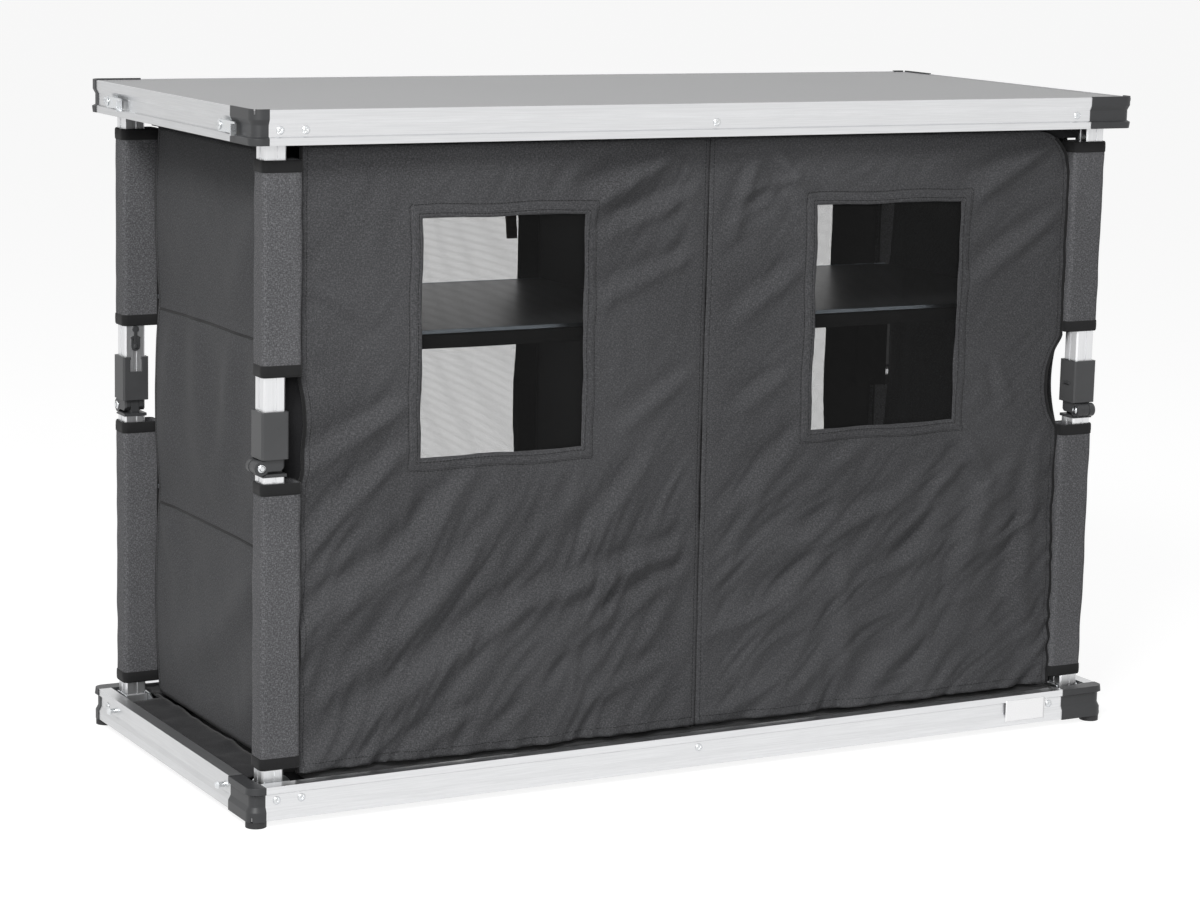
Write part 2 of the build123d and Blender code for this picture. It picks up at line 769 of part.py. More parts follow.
def floor_tub():
    """Cloth floor on the base board, with walls up to a rim that reaches the rails."""
    floor = base_z + board_inside + cloth_gap
    rim = base_z + half_case - tub_rim_drop
    x = side_plane - panel_cloth - cloth_gap
    y = tub_half_depth
    outer_x = case_width / 2 - cap_proud - rail_width - cloth_gap
    outer_y = case_depth / 2 - cap_proud - rail_width - cloth_gap
    tub = box_at(-x, x, -y, y, floor, rim)
    tub = tub - box_at(-x + cloth, x - cloth, -y + cloth, y - cloth, floor + cloth, rim + 1)
    brim = box_at(-outer_x, outer_x, -outer_y, outer_y, rim - cloth, rim)
    brim = brim - box_at(-x + cloth, x - cloth, -y + cloth, y - cloth, rim - cloth - 1, rim + 1)
    tub = tub + brim
    for side in range(4):
        room = box_at(-leg_inset, tub_leg_reach, -leg_inset, tub_leg_room, rim - 2 * cloth, rim + 1)
        tub = tub - leg_place(side, room)
    return tub


def shelves(height):
    boards = []
    outer = side_plane - panel_cloth - cloth_gap
    inner = cloth + shelf_middle_gap
    for hand in (-1, 1):
        low, high = min(hand * outer, hand * inner), max(hand * outer, hand * inner)
        boards.append(box_at(low, high, -shelf_half_depth, shelf_half_depth,
                             height - shelf_thickness / 2, height + shelf_thickness / 2))
    return boards


# Lower case half
for number, name in enumerate(side_names):
    save("bottom_rail_" + name, bottom_rail(number))
    save("top_rail_" + name, to_top(bottom_rail(number)))
bottom_corners = [bottom_corner(number) for number in range(4)]
bottom_brackets = [bottom_bracket(number) for number in range(4)]
fasteners = bottom_fasteners()
save("bottom_corners", bottom_corners)
save("feet", [foot(number) for number in range(4)])
save("base_board", bottom_board())
save("bottom_brackets", bottom_brackets)
save("bottom_fasteners", fasteners)
save("catch_pins", catch_pins())

# Upper case half
save("top_corners", [to_top(piece) for piece in bottom_corners])
save("worktop_board", to_top(bottom_board()))
save("top_brackets", [to_top(piece) for piece in bottom_brackets])
save("top_fasteners", [to_top(piece) for piece in fasteners] + hook_pivots())
for number, end in ((3, "left"), (1, "right")):
    for place, order in zip(hook_places(number), ("near", "far")):
        save("hook_" + end + "_" + order, hook(number, place))

# Legs
for number, name in enumerate(leg_names):
    save("lower_tube_" + name, lower_tube(number))
    save("lower_knee_" + name, lower_knee(number))
    save("lower_sleeve_" + name, sleeve(number, lower_sleeve_bottom, lower_sleeve_top))
    save("upper_tube_" + name, upper_tube(number))
    save("upper_knee_" + name, upper_knee(number))
    save("upper_sleeve_" + name, sleeve(number, upper_sleeve_bottom, upper_sleeve_top))
    save("collar_" + name, collar(number))

# Cabinet
save("door_left", door(-1))
save("door_right", door(1))
save("side_cloth_left", side_cloth(-1))
save("side_cloth_right", side_cloth(1))
save("back_cloth", back_cloth())
save("divider_cloth", divider_cloth())
save("top_skirt", top_skirt())
save("floor_tub", floor_tub())
save("lower_shelves", shelves(lower_shelf_height))
save("upper_shelves", shelves(upper_shelf_height))
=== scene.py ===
import math
import bpy
import bmesh
import numpy as np
from mathutils import Matrix, Vector


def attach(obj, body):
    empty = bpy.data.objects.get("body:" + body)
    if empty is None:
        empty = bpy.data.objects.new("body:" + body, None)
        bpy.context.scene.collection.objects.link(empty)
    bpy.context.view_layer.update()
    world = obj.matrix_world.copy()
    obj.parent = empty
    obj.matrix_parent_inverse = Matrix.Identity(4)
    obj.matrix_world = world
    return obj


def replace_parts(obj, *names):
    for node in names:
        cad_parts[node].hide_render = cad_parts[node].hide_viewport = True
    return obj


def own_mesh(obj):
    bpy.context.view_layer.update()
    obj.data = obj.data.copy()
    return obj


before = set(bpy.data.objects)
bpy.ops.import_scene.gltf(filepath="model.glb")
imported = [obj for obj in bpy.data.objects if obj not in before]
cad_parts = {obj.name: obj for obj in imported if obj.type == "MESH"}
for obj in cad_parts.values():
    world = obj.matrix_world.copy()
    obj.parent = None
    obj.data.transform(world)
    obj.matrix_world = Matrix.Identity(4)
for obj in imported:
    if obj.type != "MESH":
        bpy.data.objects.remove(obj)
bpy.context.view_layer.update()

mm = 0.001

# Sizes taken from the part, in metres

case_width = 1.180
case_depth = 0.510
stand_height = 0.800
leg_x = 0.552
leg_y = 0.217
leg_corners = {"front_left": (-1, -1), "front_right": (1, -1), "back_right": (1, 1), "back_left": (-1, 1)}
side_names = {-1: "left", 1: "right"}
shelf_levels = (0.306, 0.540)
cabinet_low = 0.050
cabinet_high = 0.7462
cloth_thickness = 0.0011
door_edge = 0.5207
door_gap = 0.0006
door_plane = -0.2212
door_crown = 0.006
door_high = 0.757
door_corner = 0.055
window_width = 0.207
window_low = 0.402
window_high = 0.674
window_shift = -0.009
scallop_low = 0.382
scallop_high = 0.498
scallop_depth = 0.022
left_scallop_depth = 0.007
side_scallop_depth = 0.014
side_front = -0.2024
side_rear = 0.183
side_plane = 0.5288
back_plane = 0.2068
back_hole_x = (0.028, 0.450)
back_hole_z = (0.110, 0.690)
tub_levels = (0.0140, 0.0442, 0.0462)
tub_wall = (0.5265, 0.1955)
tub_brim = (0.5715, 0.2365)
sleeve_reach = 0.031
sleeve_half = 0.0145
sleeve_spans = {"lower": (0.060, 0.385), "upper": (0.505, 0.742)}
knee_height = 0.4035
knee_offset = 0.015
knee_half = 0.0128
pivot_face = 0.5928
pivot_y = (-0.187, 0.167)
pivot_steps = ((0.5860, 0.5900, 0.0050), (0.5895, 0.5930, 0.0030))
rail_head_levels = {"bottom": 0.030, "top": stand_height - 0.023}
groove_face = 0.004
shelf_x = (0.0030, 0.5270)
shelf_strips_y = ((-0.1936, -0.1916), (0.1916, 0.1936))
shelf_half = 0.0024

# Sizes of what the scene adds

net_pitch = 0.0013
net_strand = 0.00043
border_width = 0.0135
stitch_pitch = 0.0043
stitch_length = 0.0031
tie_length = 0.100
tie_places = {-1: -0.052, 1: 0.350}
label_from_end = (0.153, 0.093)
label_levels = (0.0135, 0.0405)
label_front = -0.2543
shelf_hem = 0.017
# Dark sheets behind two knees, put there as painted shade
knee_shade_sheets = {
    "front_left": ([(-0.5278, -0.1850), (-0.5228, -0.1985), (-0.5165, -0.2090), (-0.5060, -0.2157)],
                   0.3700, 0.5120),
    "back_right": ([(0.5278, 0.1810), (0.5228, 0.1925), (0.5150, 0.2005), (0.4940, 0.2045)],
                   0.3750, 0.5070),
}

# How the cloth folds, and settings for flattening as the case closes, which nothing here applies

crease_gain = 1.6
fold_bow = 0.014
pulled_height, gather_height, crisp_height = 0.0062, 0.0032, 0.0042
ripple_heights = (0.0011, 0.00055, 0.00012)
bay_bulge = 0.005
fold_slants = {-1: (50, 30, 62), 1: (35, 24, 46)}
sleeve_snug = 0.64
cabinet_fold = {"axis": (0, 0, 1), "anchor": (0, 0, 0.050), "keep": 0.036}
divider_fold = {"axis": (0, 0, 1), "anchor": (0, 0, 0.046), "keep": 0.04}


# Node trees

class Graph:
    """A node tree under construction. What goes into a socket is another socket, a colour or a value."""

    def __init__(self, tree):
        self.tree = tree
        tree.nodes.clear()

    def node(self, kind, sockets=None, **settings):
        made = self.tree.nodes.new(kind)
        for key, value in settings.items():
            setattr(made, key, value)
        for key, value in (sockets or {}).items():
            socket = made.inputs[key]
            if isinstance(value, bpy.types.NodeSocket):
                self.tree.links.new(value, socket)
            elif socket.type == "RGBA":
                socket.default_value = (*value, 1.0)
            else:
                socket.default_value = value
        return made

    def math(self, operation, a, b):
        return self.node("ShaderNodeMath", {0: a, 1: b}, operation=operation).outputs[0]


class Finish(Graph):
    """A surface finish: a Principled shader fed by procedural textures."""

    def __init__(self, name):
        self.material = bpy.data.materials.new(name)
        self.material.use_nodes = True
        super().__init__(self.material.node_tree)
        self.coords = self.node("ShaderNodeTexCoord")

    def place(self, stretch=(1, 1, 1), space="Object"):
        sockets = {"Scale": stretch, "Vector": self.coords.outputs[space]}
        return self.node("ShaderNodeMapping", sockets).outputs[0]

    def noise(self, scale, detail, stretch=(1, 1, 1), space="Object"):
        sockets = {"Scale": scale, "Detail": detail, "Vector": self.place(stretch, space)}
        return self.node("ShaderNodeTexNoise", sockets).outputs["Fac"]

    def wave(self, direction, sockets):
        return self.node("ShaderNodeTexWave", dict(sockets, Vector=self.place(space="UV")), wave_type="BANDS",
                         bands_direction=direction)

    def ramp(self, factor, *stops):
        made = self.node("ShaderNodeValToRGB", {"Fac": factor})
        line = made.color_ramp.elements
        while len(line) < len(stops):
            line.new(0.5)
        for element, (where, colour) in zip(line, stops):
            element.position = where
            element.color = (*(colour if isinstance(colour, tuple) else (colour,) * 3), 1.0)
        return made.outputs["Color"]

    def mix(self, factor, a, b):
        return self.node("ShaderNodeMix", {0: factor, 6: a, 7: b}, data_type="RGBA").outputs[2]

    def tint(self, tone, pattern, low, high, amount, colour):
        """The tone drawn towards a colour where the pattern lies high."""
        return self.mix(self.ramp(pattern, (low, 0.0), (high, amount)), tone, colour)

    def bump(self, height, strength, distance, under=None):
        sockets = {"Strength": strength, "Distance": distance, "Height": height}
        if under is not None:
            sockets["Normal"] = under
        return self.node("ShaderNodeBump", sockets).outputs[0]

    def eased(self, radius):
        """Edges that catch light as if they were rounded a little."""
        return self.node("ShaderNodeBevel", {"Radius": radius}, samples=4).outputs[0]

    def finish(self, colour, pattern, spread, roughness, normal, **others):
        """Closes the tree; the roughness varies with a pattern over the given spread."""
        rough = self.math("ADD", self.math("MULTIPLY", pattern, spread), roughness)
        sockets = {"Base Color": colour, "Roughness": rough, "Normal": normal}
        sockets.update((key.replace("_", " "), value) for key, value in others.items())
        shader = self.node("ShaderNodeBsdfPrincipled", sockets)
        self.node("ShaderNodeOutputMaterial", {"Surface": shader.outputs[0]})
        return self.material


class Growth(Graph):
    """A Geometry Nodes tree with named size inputs, for what repeats."""

    def __init__(self, name, sizes):
        tree = bpy.data.node_groups.new(name, "GeometryNodeTree")
        tree.interface.new_socket("Geometry", in_out="INPUT", socket_type="NodeSocketGeometry")
        for label, default in sizes.items():
            socket = tree.interface.new_socket(label, in_out="INPUT", socket_type="NodeSocketFloat")
            socket.default_value = default
        tree.interface.new_socket("Geometry", in_out="OUTPUT", socket_type="NodeSocketGeometry")
        super().__init__(tree)
        self.start = self.node("NodeGroupInput").outputs

    def curve(self):
        return self.node("GeometryNodeMeshToCurve", {0: self.start["Geometry"]}).outputs[0]

    def end(self, geometry, material):
        real = self.node("GeometryNodeRealizeInstances", {0: geometry})
        paint = self.node("GeometryNodeSetMaterial", {"Geometry": real.outputs[0], "Material": material})
        self.node("NodeGroupOutput", {0: paint.outputs[0]})
        return self.tree


def shade(colour, gain, lift=0.0):
    return tuple(min(1.0, c * gain + lift) for c in colour)


# Materials

def drawn_aluminium(name, stretch, colour=(0.80, 0.805, 0.815), roughness=0.30):
    """Extruded aluminium: fine die lines along the bar, faint handling marks, satin sheen."""
    f = Finish(name)
    lines = f.noise(900.0, 2.0, stretch)
    fine = f.noise(2600.0, 1.0, stretch)
    marks = f.noise(14.0, 4.0)
    tone = f.ramp(lines, (0.35, shade(colour, 0.93)), (0.65, colour))
    tone = f.tint(tone, marks, 0.45, 0.75, 0.16, shade(colour, 0.82))
    height = f.math("ADD", lines, f.math("MULTIPLY", fine, 0.5))
    normal = f.bump(height, 0.10, 0.00006, f.eased(0.0005))
    return f.finish(tone, marks, 0.16, roughness - 0.06, normal, Metallic=1.0)


def moulded_plastic(name, colour, roughness=0.46, strength=0.14):
    """Spark-eroded moulded plastic with slightly rubbed edges and faint dust."""
    f = Finish(name)
    speck = f.noise(2400.0, 2.0)
    cloudy = f.noise(30.0, 4.0)
    light = shade(colour, 1.35, 0.004)
    tone = f.tint(colour, cloudy, 0.35, 0.8, 0.6, light)
    tone = f.tint(tone, speck, 0.4, 0.8, 0.25, light)
    normal = f.bump(speck, strength, 0.0002, f.eased(0.0012))
    return f.finish(tone, cloudy, 0.14, roughness - 0.07, normal, Specular_IOR_Level=0.45)


def speckled_laminate(name, base, dark, light, roughness=0.42):
    """Pressed board with a fine two-tone speckle under a satin skin."""
    f = Finish(name)
    grain = f.noise(1100.0, 2.0)
    fleck = f.node("ShaderNodeTexVoronoi", {"Scale": 620.0, "Vector": f.place()}, feature="F1")
    tone = f.ramp(grain, (0.30, dark), (0.50, base), (0.72, light))
    tone = f.mix(f.ramp(fleck.outputs["Distance"], (0.02, 0.55), (0.22, 0.0)), tone, dark)
    tone = f.tint(tone, f.noise(5.0, 3.0), 0.4, 0.7, 0.10, light)
    normal = f.bump(grain, 0.05, 0.00008, f.eased(0.0008))
    return f.finish(tone, grain, 0.10, roughness - 0.05, normal, Specular_IOR_Level=0.4)


def zinc_plate(name, colour=(0.70, 0.72, 0.74), roughness=0.26):
    """Bright zinc plating with cloudy patches and a fine tooth."""
    f = Finish(name)
    cloud = f.noise(120.0, 4.0)
    warm = (colour[0] * 0.92, colour[1] * 0.89, colour[2] * 0.82)
    tone = f.tint(colour, cloud, 0.4, 0.75, 0.45, warm)
    normal = f.bump(f.noise(3000.0, 1.0), 0.12, 0.00005, f.eased(0.0004))
    return f.finish(tone, cloud, 0.22, roughness - 0.08, normal, Metallic=1.0)


def woven_cloth(name, dark, light, yarn=0.0009, fleck=1.0, sheen=0.05, fade=0.10):
    """Plain-woven polyester: yarns one over one under, heathered flecks along both yarns."""
    f = Finish(name)
    turns = 1.0 / yarn
    along, across = turns * 0.26, turns * 0.9
    bands = {"Scale": turns * math.pi / 20.0, "Distortion": 0.6, "Detail Scale": 0.4}
    warp, weft = f.wave("X", bands), f.wave("Y", bands)
    over = f.node("ShaderNodeTexChecker", {"Scale": turns, "Color1": (1, 1, 1), "Color2": (0, 0, 0),
                                           "Vector": f.place(space="UV")})
    weave = f.mix(over.outputs["Color"], warp.outputs["Color"], weft.outputs["Color"])
    flecks = f.math("MAXIMUM", f.noise(1.0, 2.0, (across, along, 1.0), "UV"),
                    f.noise(1.0, 2.0, (along, across, 1.0), "UV"))
    tone = f.tint(dark, flecks, 0.50, 0.72, fleck, light)
    tone = f.mix(f.math("MULTIPLY", weave, 0.35), tone, light)
    tone = f.tint(tone, f.noise(4.5, 4.0), 0.42, 0.75, fade, shade(light, 1.7))
    normal = f.bump(weave, 0.45, 0.00022, f.bump(flecks, 0.35, 0.0002))
    return f.finish(tone, flecks, 0.12, 0.76, normal, Sheen_Weight=sheen, Sheen_Roughness=0.45,
                    Specular_IOR_Level=0.22)


def folded_tape(name, colour, pitch=0.0012):
    """Narrow woven binding with ribs across it."""
    f = Finish(name)
    rib = f.wave("Y", {"Scale": 0.314 / pitch}).outputs["Fac"]
    fuzz = f.noise(900.0, 3.0)
    light = shade(colour, 1.9, 0.004)
    tone = f.mix(f.math("MULTIPLY", rib, 0.5), colour, light)
    tone = f.tint(tone, fuzz, 0.45, 0.8, 0.5, light)
    return f.finish(tone, fuzz, 0.1, 0.78, f.bump(rib, 0.4, 0.0003), Sheen_Weight=0.1, Specular_IOR_Level=0.2)


def spun_thread(name, colour):
    """Twisted thread for stitches and net."""
    f = Finish(name)
    twist = f.noise(2200.0, 2.0)
    tone = f.tint(colour, twist, 0.35, 0.75, 0.8, shade(colour, 2.2, 0.003))
    return f.finish(tone, twist, 0.2, 0.6, f.bump(twist, 0.3, 0.0001), Specular_IOR_Level=0.25)


def blank_foil(name):
    """White foil label, faintly pearly, with nothing on it."""
    f = Finish(name)
    fibre = f.noise(700.0, 4.0)
    tone = f.ramp(fibre, (0.3, (0.88, 0.88, 0.885)), (0.7, (0.93, 0.93, 0.935)))
    return f.finish(tone, fibre, 0.2, 0.36, f.bump(fibre, 0.1, 0.0001), Metallic=0.75)


rail_metal_x = drawn_aluminium("rail_metal_along_x", (0.02, 1, 1), (0.77, 0.775, 0.785))
# Same aluminium as the rails along x in a darker tone: painted shade for the rails on the case's ends
shaded_rail_metal_y = drawn_aluminium("rail_metal_along_y", (1, 0.02, 1), (0.63, 0.635, 0.642), 0.34)
tube_metal = drawn_aluminium("leg_tube_metal", (1, 1, 0.02), roughness=0.38)
corner_plastic = moulded_plastic("corner_plastic", (0.034, 0.035, 0.037))
foot_rubber = moulded_plastic("foot_rubber", (0.022, 0.022, 0.023), 0.62, 0.2)
knee_plastic = moulded_plastic("knee_plastic", (0.038, 0.039, 0.041), 0.42)
collar_plastic = moulded_plastic("collar_plastic", (0.052, 0.053, 0.055), 0.44)
worktop_skin = speckled_laminate("worktop_skin", (0.240, 0.241, 0.246), (0.172, 0.173, 0.177),
                                 (0.312, 0.314, 0.320))
base_skin = speckled_laminate("base_board_skin", (0.30, 0.302, 0.308), (0.24, 0.242, 0.246),
                              (0.37, 0.372, 0.38))
shelf_skin = speckled_laminate("shelf_skin", (0.115, 0.119, 0.125), (0.088, 0.091, 0.096),
                               (0.150, 0.156, 0.164), 0.34)
shelf_edge_metal = drawn_aluminium("shelf_edge_strip", (0.02, 1, 1), (0.40, 0.45, 0.50), 0.34)
zinc = zinc_plate("zinc_plating")
bracket_zinc = zinc_plate("bracket_zinc", (0.58, 0.60, 0.62), 0.34)
cabinet_cloth = woven_cloth("cabinet_cloth", (0.033, 0.033, 0.035), (0.122, 0.123, 0.129), 0.0008)
sleeve_cloth = woven_cloth("sleeve_cloth", (0.048, 0.048, 0.051), (0.215, 0.216, 0.226), 0.0008, fade=0.12)
inner_cloth = woven_cloth("inner_cloth", (0.010, 0.010, 0.011), (0.022, 0.022, 0.024), fleck=0.7, fade=0.05)
floor_cloth = woven_cloth("floor_cloth", (0.016, 0.016, 0.017), (0.036, 0.036, 0.039), fleck=0.8, sheen=0.08)
hem_tape = folded_tape("hem_tape", (0.012, 0.012, 0.0125))
tie_tape = folded_tape("tie_tab_tape", (0.09, 0.035, 0.018))
seam_thread = spun_thread("seam_thread", (0.008, 0.008, 0.008))
net_thread = spun_thread("net_thread", (0.006, 0.006, 0.006))
label_foil = blank_foil("blank_label_paper")

# The first entry that fits a CAD node's name gives its finish
node_finishes = [
    ("rail_front", rail_metal_x), ("rail_back", rail_metal_x), ("rail_left", shaded_rail_metal_y),
    ("rail_right", shaded_rail_metal_y), ("_tube_", tube_metal), ("_corners", corner_plastic), ("feet", foot_rubber),
    ("_knee_", knee_plastic), ("collar_", collar_plastic), ("worktop_board", worktop_skin),
    ("base_board", base_skin), ("_shelves", shelf_skin), ("catch_pins", zinc), ("hook_", zinc),
    ("_brackets", bracket_zinc), ("_fasteners", zinc),
]
for node_name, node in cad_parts.items():
    for words, finish in node_finishes:
        if words in node_name:
            node.data.materials.clear()
            node.data.materials.append(finish)
            break


# Cloth surfaces

def stacked(*parts):
    return np.stack(np.broadcast_arrays(*parts), axis=-1)


def rise(value, length):
    """0 up to the start, then evenly up to 1 over the length."""
    return np.clip(value / length, 0, 1)


def spaced(*stops):
    """Values through the given stops, each pair followed by the number of steps between them."""
    values = [np.linspace(stops[k], stops[k + 2], stops[k + 1] + 1)[:-1] for k in range(0, len(stops) - 2, 2)]
    return np.concatenate(values + [[stops[-1]]])


def lengths_along(points):
    """Distance from the first point to each, along the path."""
    return np.concatenate([[0], np.cumsum(np.linalg.norm(np.diff(points, axis=0), axis=1))])


def smooth_noise(seed, wave, count=26):
    """A fixed random field of soft bumps about one wave length across, near -1 to 1."""
    rng = np.random.default_rng(seed)
    angle = rng.uniform(0, 2 * math.pi, count)
    pitch = 2 * math.pi / (wave * rng.uniform(0.6, 1.8, count))
    phase = rng.uniform(0, 2 * math.pi, count)
    weight = rng.uniform(0.5, 1.0, count)
    weight = weight / math.sqrt((weight ** 2).sum() / 2)

    def field(a, b):
        total = np.zeros(np.broadcast(a, b).shape)
        for p, t, start, w in zip(pitch, angle, phase, weight):
            total = total + w * np.cos(p * (a * math.cos(t) + b * math.sin(t)) + start)
        return total / 2.2
    return field


def crease_field(creases):
    """Sum of tension folds. Each is (points in mm, height in mm, half width in mm): a ridge with a
    shallow trough along its lower side, dying away at both ends."""
    def field(a, b):
        total = np.zeros(np.broadcast(a, b).shape)
        for points, height, width in creases:
            path = np.array(points, float) * mm
            run = np.linalg.norm(np.diff(path, axis=0), axis=1)
            best = np.full(total.shape, 1e9)
            signed, along = np.zeros(total.shape), np.zeros(total.shape)
            start = 0.0
            for k in range(len(run)):
                step = (path[k + 1] - path[k]) / run[k]
                da, db = a - path[k][0], b - path[k][1]
                clipped = np.clip(da * step[0] + db * step[1], 0 if k else -1e9,
                                  run[k] if k < len(run) - 1 else 1e9)
                across = da * step[1] - db * step[0]
                ra, rb = da - clipped * step[0], db - clipped * step[1]
                distance = np.sqrt(ra * ra + rb * rb)
                nearer = distance < best
                best = np.where(nearer, distance, best)
                signed = np.where(nearer, np.where(across > 0, distance, -distance), signed)
                along = np.where(nearer, (start + clipped) / run.sum(), along)
                start += run[k]
            fade = 1.0 / (1.0 + np.exp(-(along + 0.02) / 0.07)) / (1.0 + np.exp((along - 1.02) / 0.07))
            spread = width * mm * (0.75 + 0.5 * np.clip(along, 0, 1))
            trough = 0.75 * np.exp(-((signed - 1.7 * spread) / (1.3 * spread)) ** 2)
            total = total + crease_gain * height * mm * fade * (np.exp(-(signed / spread) ** 2) - trough)
        return total
    return field


def pulled_folds(seed, angle, across, along, soft=0.012):
    """Long slanting folds with rounded crests and sharper hollows, as in cloth pulled askew."""
    field = smooth_noise(seed, 1.0, 18)
    bow = smooth_noise(seed + 50, 0.21, 10)
    c, s = math.cos(math.radians(angle)), math.sin(math.radians(angle))

    def height(a, b):
        value = field((a * c + b * s) / along, (-a * s + b * c + fold_bow * bow(a, b)) / across)
        return 0.30 - np.sqrt(value * value + soft)
    return height


# Meshes

def placed(name, data):
    made = bpy.data.objects.new(name, data)
    bpy.context.scene.collection.objects.link(made)
    return made


def mesh_object(name, vertices, faces, material):
    mesh = bpy.data.meshes.new(name)
    mesh.from_pydata([tuple(v) for v in vertices], [], faces)
    mesh.materials.append(material)
    return placed(name, mesh)


def block_object(name, work, material):
    """An object from a bmesh."""
    mesh = bpy.data.meshes.new(name)
    work.to_mesh(mesh)
    work.free()
    mesh.materials.append(material)
    return placed(name, mesh)


def plain(obj):
    """Applies every modifier, so that the piece is a plain mesh."""
    graph = bpy.context.evaluated_depsgraph_get()
    applied = bpy.data.meshes.new_from_object(obj.evaluated_get(graph), preserve_all_data_layers=True,
                                              depsgraph=graph)
    obj.modifiers.clear()
    obj.data = applied
    return obj


def shade_smooth(obj):
    obj.data.polygons.foreach_set("use_smooth", [True] * len(obj.data.polygons))
    return obj


def cloth_from_grid(name, points, material, uv, keep=None, flip=False, thickness=cloth_thickness, wrap=False):
    """A sheet from a grid of points (rows, columns, 3), given its thickness about that surface."""
    if flip:
        points, uv, keep = points[:, ::-1], uv[:, ::-1], None if keep is None else keep[:, ::-1]
    rows, columns = points.shape[:2]
    faces = []
    for r in range(rows - 1):
        for c in range(columns if wrap else columns - 1):
            if keep is None or keep[r, c]:
                here, there = r * columns, (r + 1) * columns
                n = (c + 1) % columns
                faces.append((here + c, here + n, there + n, there + c))
    used = sorted({v for face in faces for v in face})
    number = {v: k for k, v in enumerate(used)}
    made = mesh_object(name, points.reshape(-1, 3)[used], [tuple(number[v] for v in face) for face in faces],
                       material)
    layer = made.data.uv_layers.new(name="cloth_map")
    index = np.empty(len(made.data.loops), np.int64)
    made.data.loops.foreach_get("vertex_index", index)
    layer.data.foreach_set("uv", np.asarray(uv.reshape(-1, 2)[used], np.float32)[index].ravel())
    shade_smooth(made)
    solid = made.modifiers.new("cloth_thickness", "SOLIDIFY")
    solid.thickness, solid.offset, solid.use_even_offset = thickness, 0.0, False
    plain(made)
    work = bmesh.new()
    work.from_mesh(made.data)
    bmesh.ops.recalc_face_normals(work, faces=work.faces)
    work.to_mesh(made.data)
    work.free()
    return made


def joined(name, pieces):
    """Several finished pieces of one body as one mesh."""
    with bpy.context.temp_override(active_object=pieces[0], selected_editable_objects=pieces,
                                   selected_objects=pieces):
        bpy.ops.object.join()
    pieces[0].name = name
    pieces[0].data.name = name
    return pieces[0]


def grown(obj, tree, sizes):
    """Runs a tree on a seed object and leaves the result as its plain mesh."""
    modifier = obj.modifiers.new(tree.name, "NODES")
    modifier.node_group = tree
    for item in tree.interface.items_tree:
        if item.in_out == "INPUT" and item.name in sizes:
            modifier[item.identifier] = sizes[item.name]
    return plain(obj)


def paths_object(name, paths):
    """A seed mesh of edge paths; a closed path repeats its first point."""
    vertices = []
    edges = []
    for path in paths:
        closed = np.allclose(path[0], path[-1])
        body = path[:-1] if closed else path
        first = len(vertices)
        vertices.extend(tuple(p) for p in body)
        edges.extend((first + k, first + k + 1) for k in range(len(body) - 1))
        if closed:
            edges.append((first + len(body) - 1, first))
    mesh = bpy.data.meshes.new(name)
    mesh.from_pydata(vertices, edges, [])
    return placed(name, mesh)


def thread_tree(name, material, sides):
    """Round strands along every edge of the mesh."""
    g = Growth(name, {"Strand width": 0.0003})
    radius = g.math("MULTIPLY", g.start["Strand width"], 0.5)
    profile = g.node("GeometryNodeCurvePrimitiveCircle", {"Resolution": sides, "Radius": radius})
    sweep = g.node("GeometryNodeCurveToMesh", {"Curve": g.curve(), "Profile Curve": profile.outputs[0],
                                               "Fill Caps": True})
    return g.end(sweep.outputs[0], material)


def stitch_tree(name, material):
    """Short thread stitches at an even pitch along every edge path of the mesh."""
    g = Growth(name, {"Stitch pitch": 0.0042, "Stitch length": 0.0030, "Thread width": 0.0007})
    points = g.node("GeometryNodeCurveToPoints", {"Curve": g.curve(), "Length": g.start["Stitch pitch"]},
                    mode="LENGTH")
    stitch = g.node("GeometryNodeMeshCylinder", {"Vertices": 6, "Radius": 0.5, "Depth": 1.0})
    width = g.start["Thread width"]
    size = g.node("ShaderNodeCombineXYZ", {0: width, 1: width, 2: g.start["Stitch length"]})
    turn = g.node("FunctionNodeAlignRotationToVector", {"Vector": points.outputs["Tangent"]}, axis="Z")
    place = g.node("GeometryNodeInstanceOnPoints", {
        "Points": points.outputs["Points"], "Instance": stitch.outputs["Mesh"],
        "Rotation": turn.outputs[0], "Scale": size.outputs[0]})
    return g.end(place.outputs[0], material)


def head_tree(name, template, material):
    """Screw heads on points; each point carries its facing and its own turn."""
    g = Growth(name, {"Head scale": 1.0})
    facing = g.node("GeometryNodeInputNamedAttribute", {"Name": "facing"}, data_type="FLOAT_VECTOR")
    slot_turn = g.node("GeometryNodeInputNamedAttribute", {"Name": "slot_turn"}, data_type="FLOAT")
    align = g.node("FunctionNodeAlignRotationToVector", {"Vector": facing.outputs["Attribute"]}, axis="Z")
    about = g.node("FunctionNodeAxisAngleToRotation", {"Angle": slot_turn.outputs["Attribute"]})
    spin = g.node("FunctionNodeRotateRotation", {0: align.outputs[0], 1: about.outputs[0]},
                  rotation_space="LOCAL")
    points = g.node("GeometryNodeMeshToPoints", {0: g.start["Geometry"]})
    shape = g.node("GeometryNodeObjectInfo", {"Object": template})
    place = g.node("GeometryNodeInstanceOnPoints", {
        "Points": points.outputs[0], "Instance": shape.outputs["Geometry"],
        "Rotation": spin.outputs[0], "Scale": g.start["Head scale"]})
    return g.end(place.outputs[0], material)


seam_stitches = stitch_tree("seam_stitches", seam_thread)
window_net = thread_tree("window_net", net_thread, 3)
round_piping = thread_tree("round_piping", hem_tape, 8)


def stitched(name, rows, width):
    return grown(paths_object(name, rows), seam_stitches,
                 {"Stitch pitch": stitch_pitch, "Stitch length": stitch_length, "Thread width": width})


def corded(name, paths, tree, width):
    return grown(paths_object(name, paths), tree, {"Strand width": width})


def settle(pieces, body, fold=None):
    """Gives finished pieces their body; with a fold given, each piece gets its own copy of its mesh, and the
    fold itself is not applied.
    """
    for piece in pieces:
        shade_smooth(piece)
        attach(piece, body)
        if fold:
            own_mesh(piece)


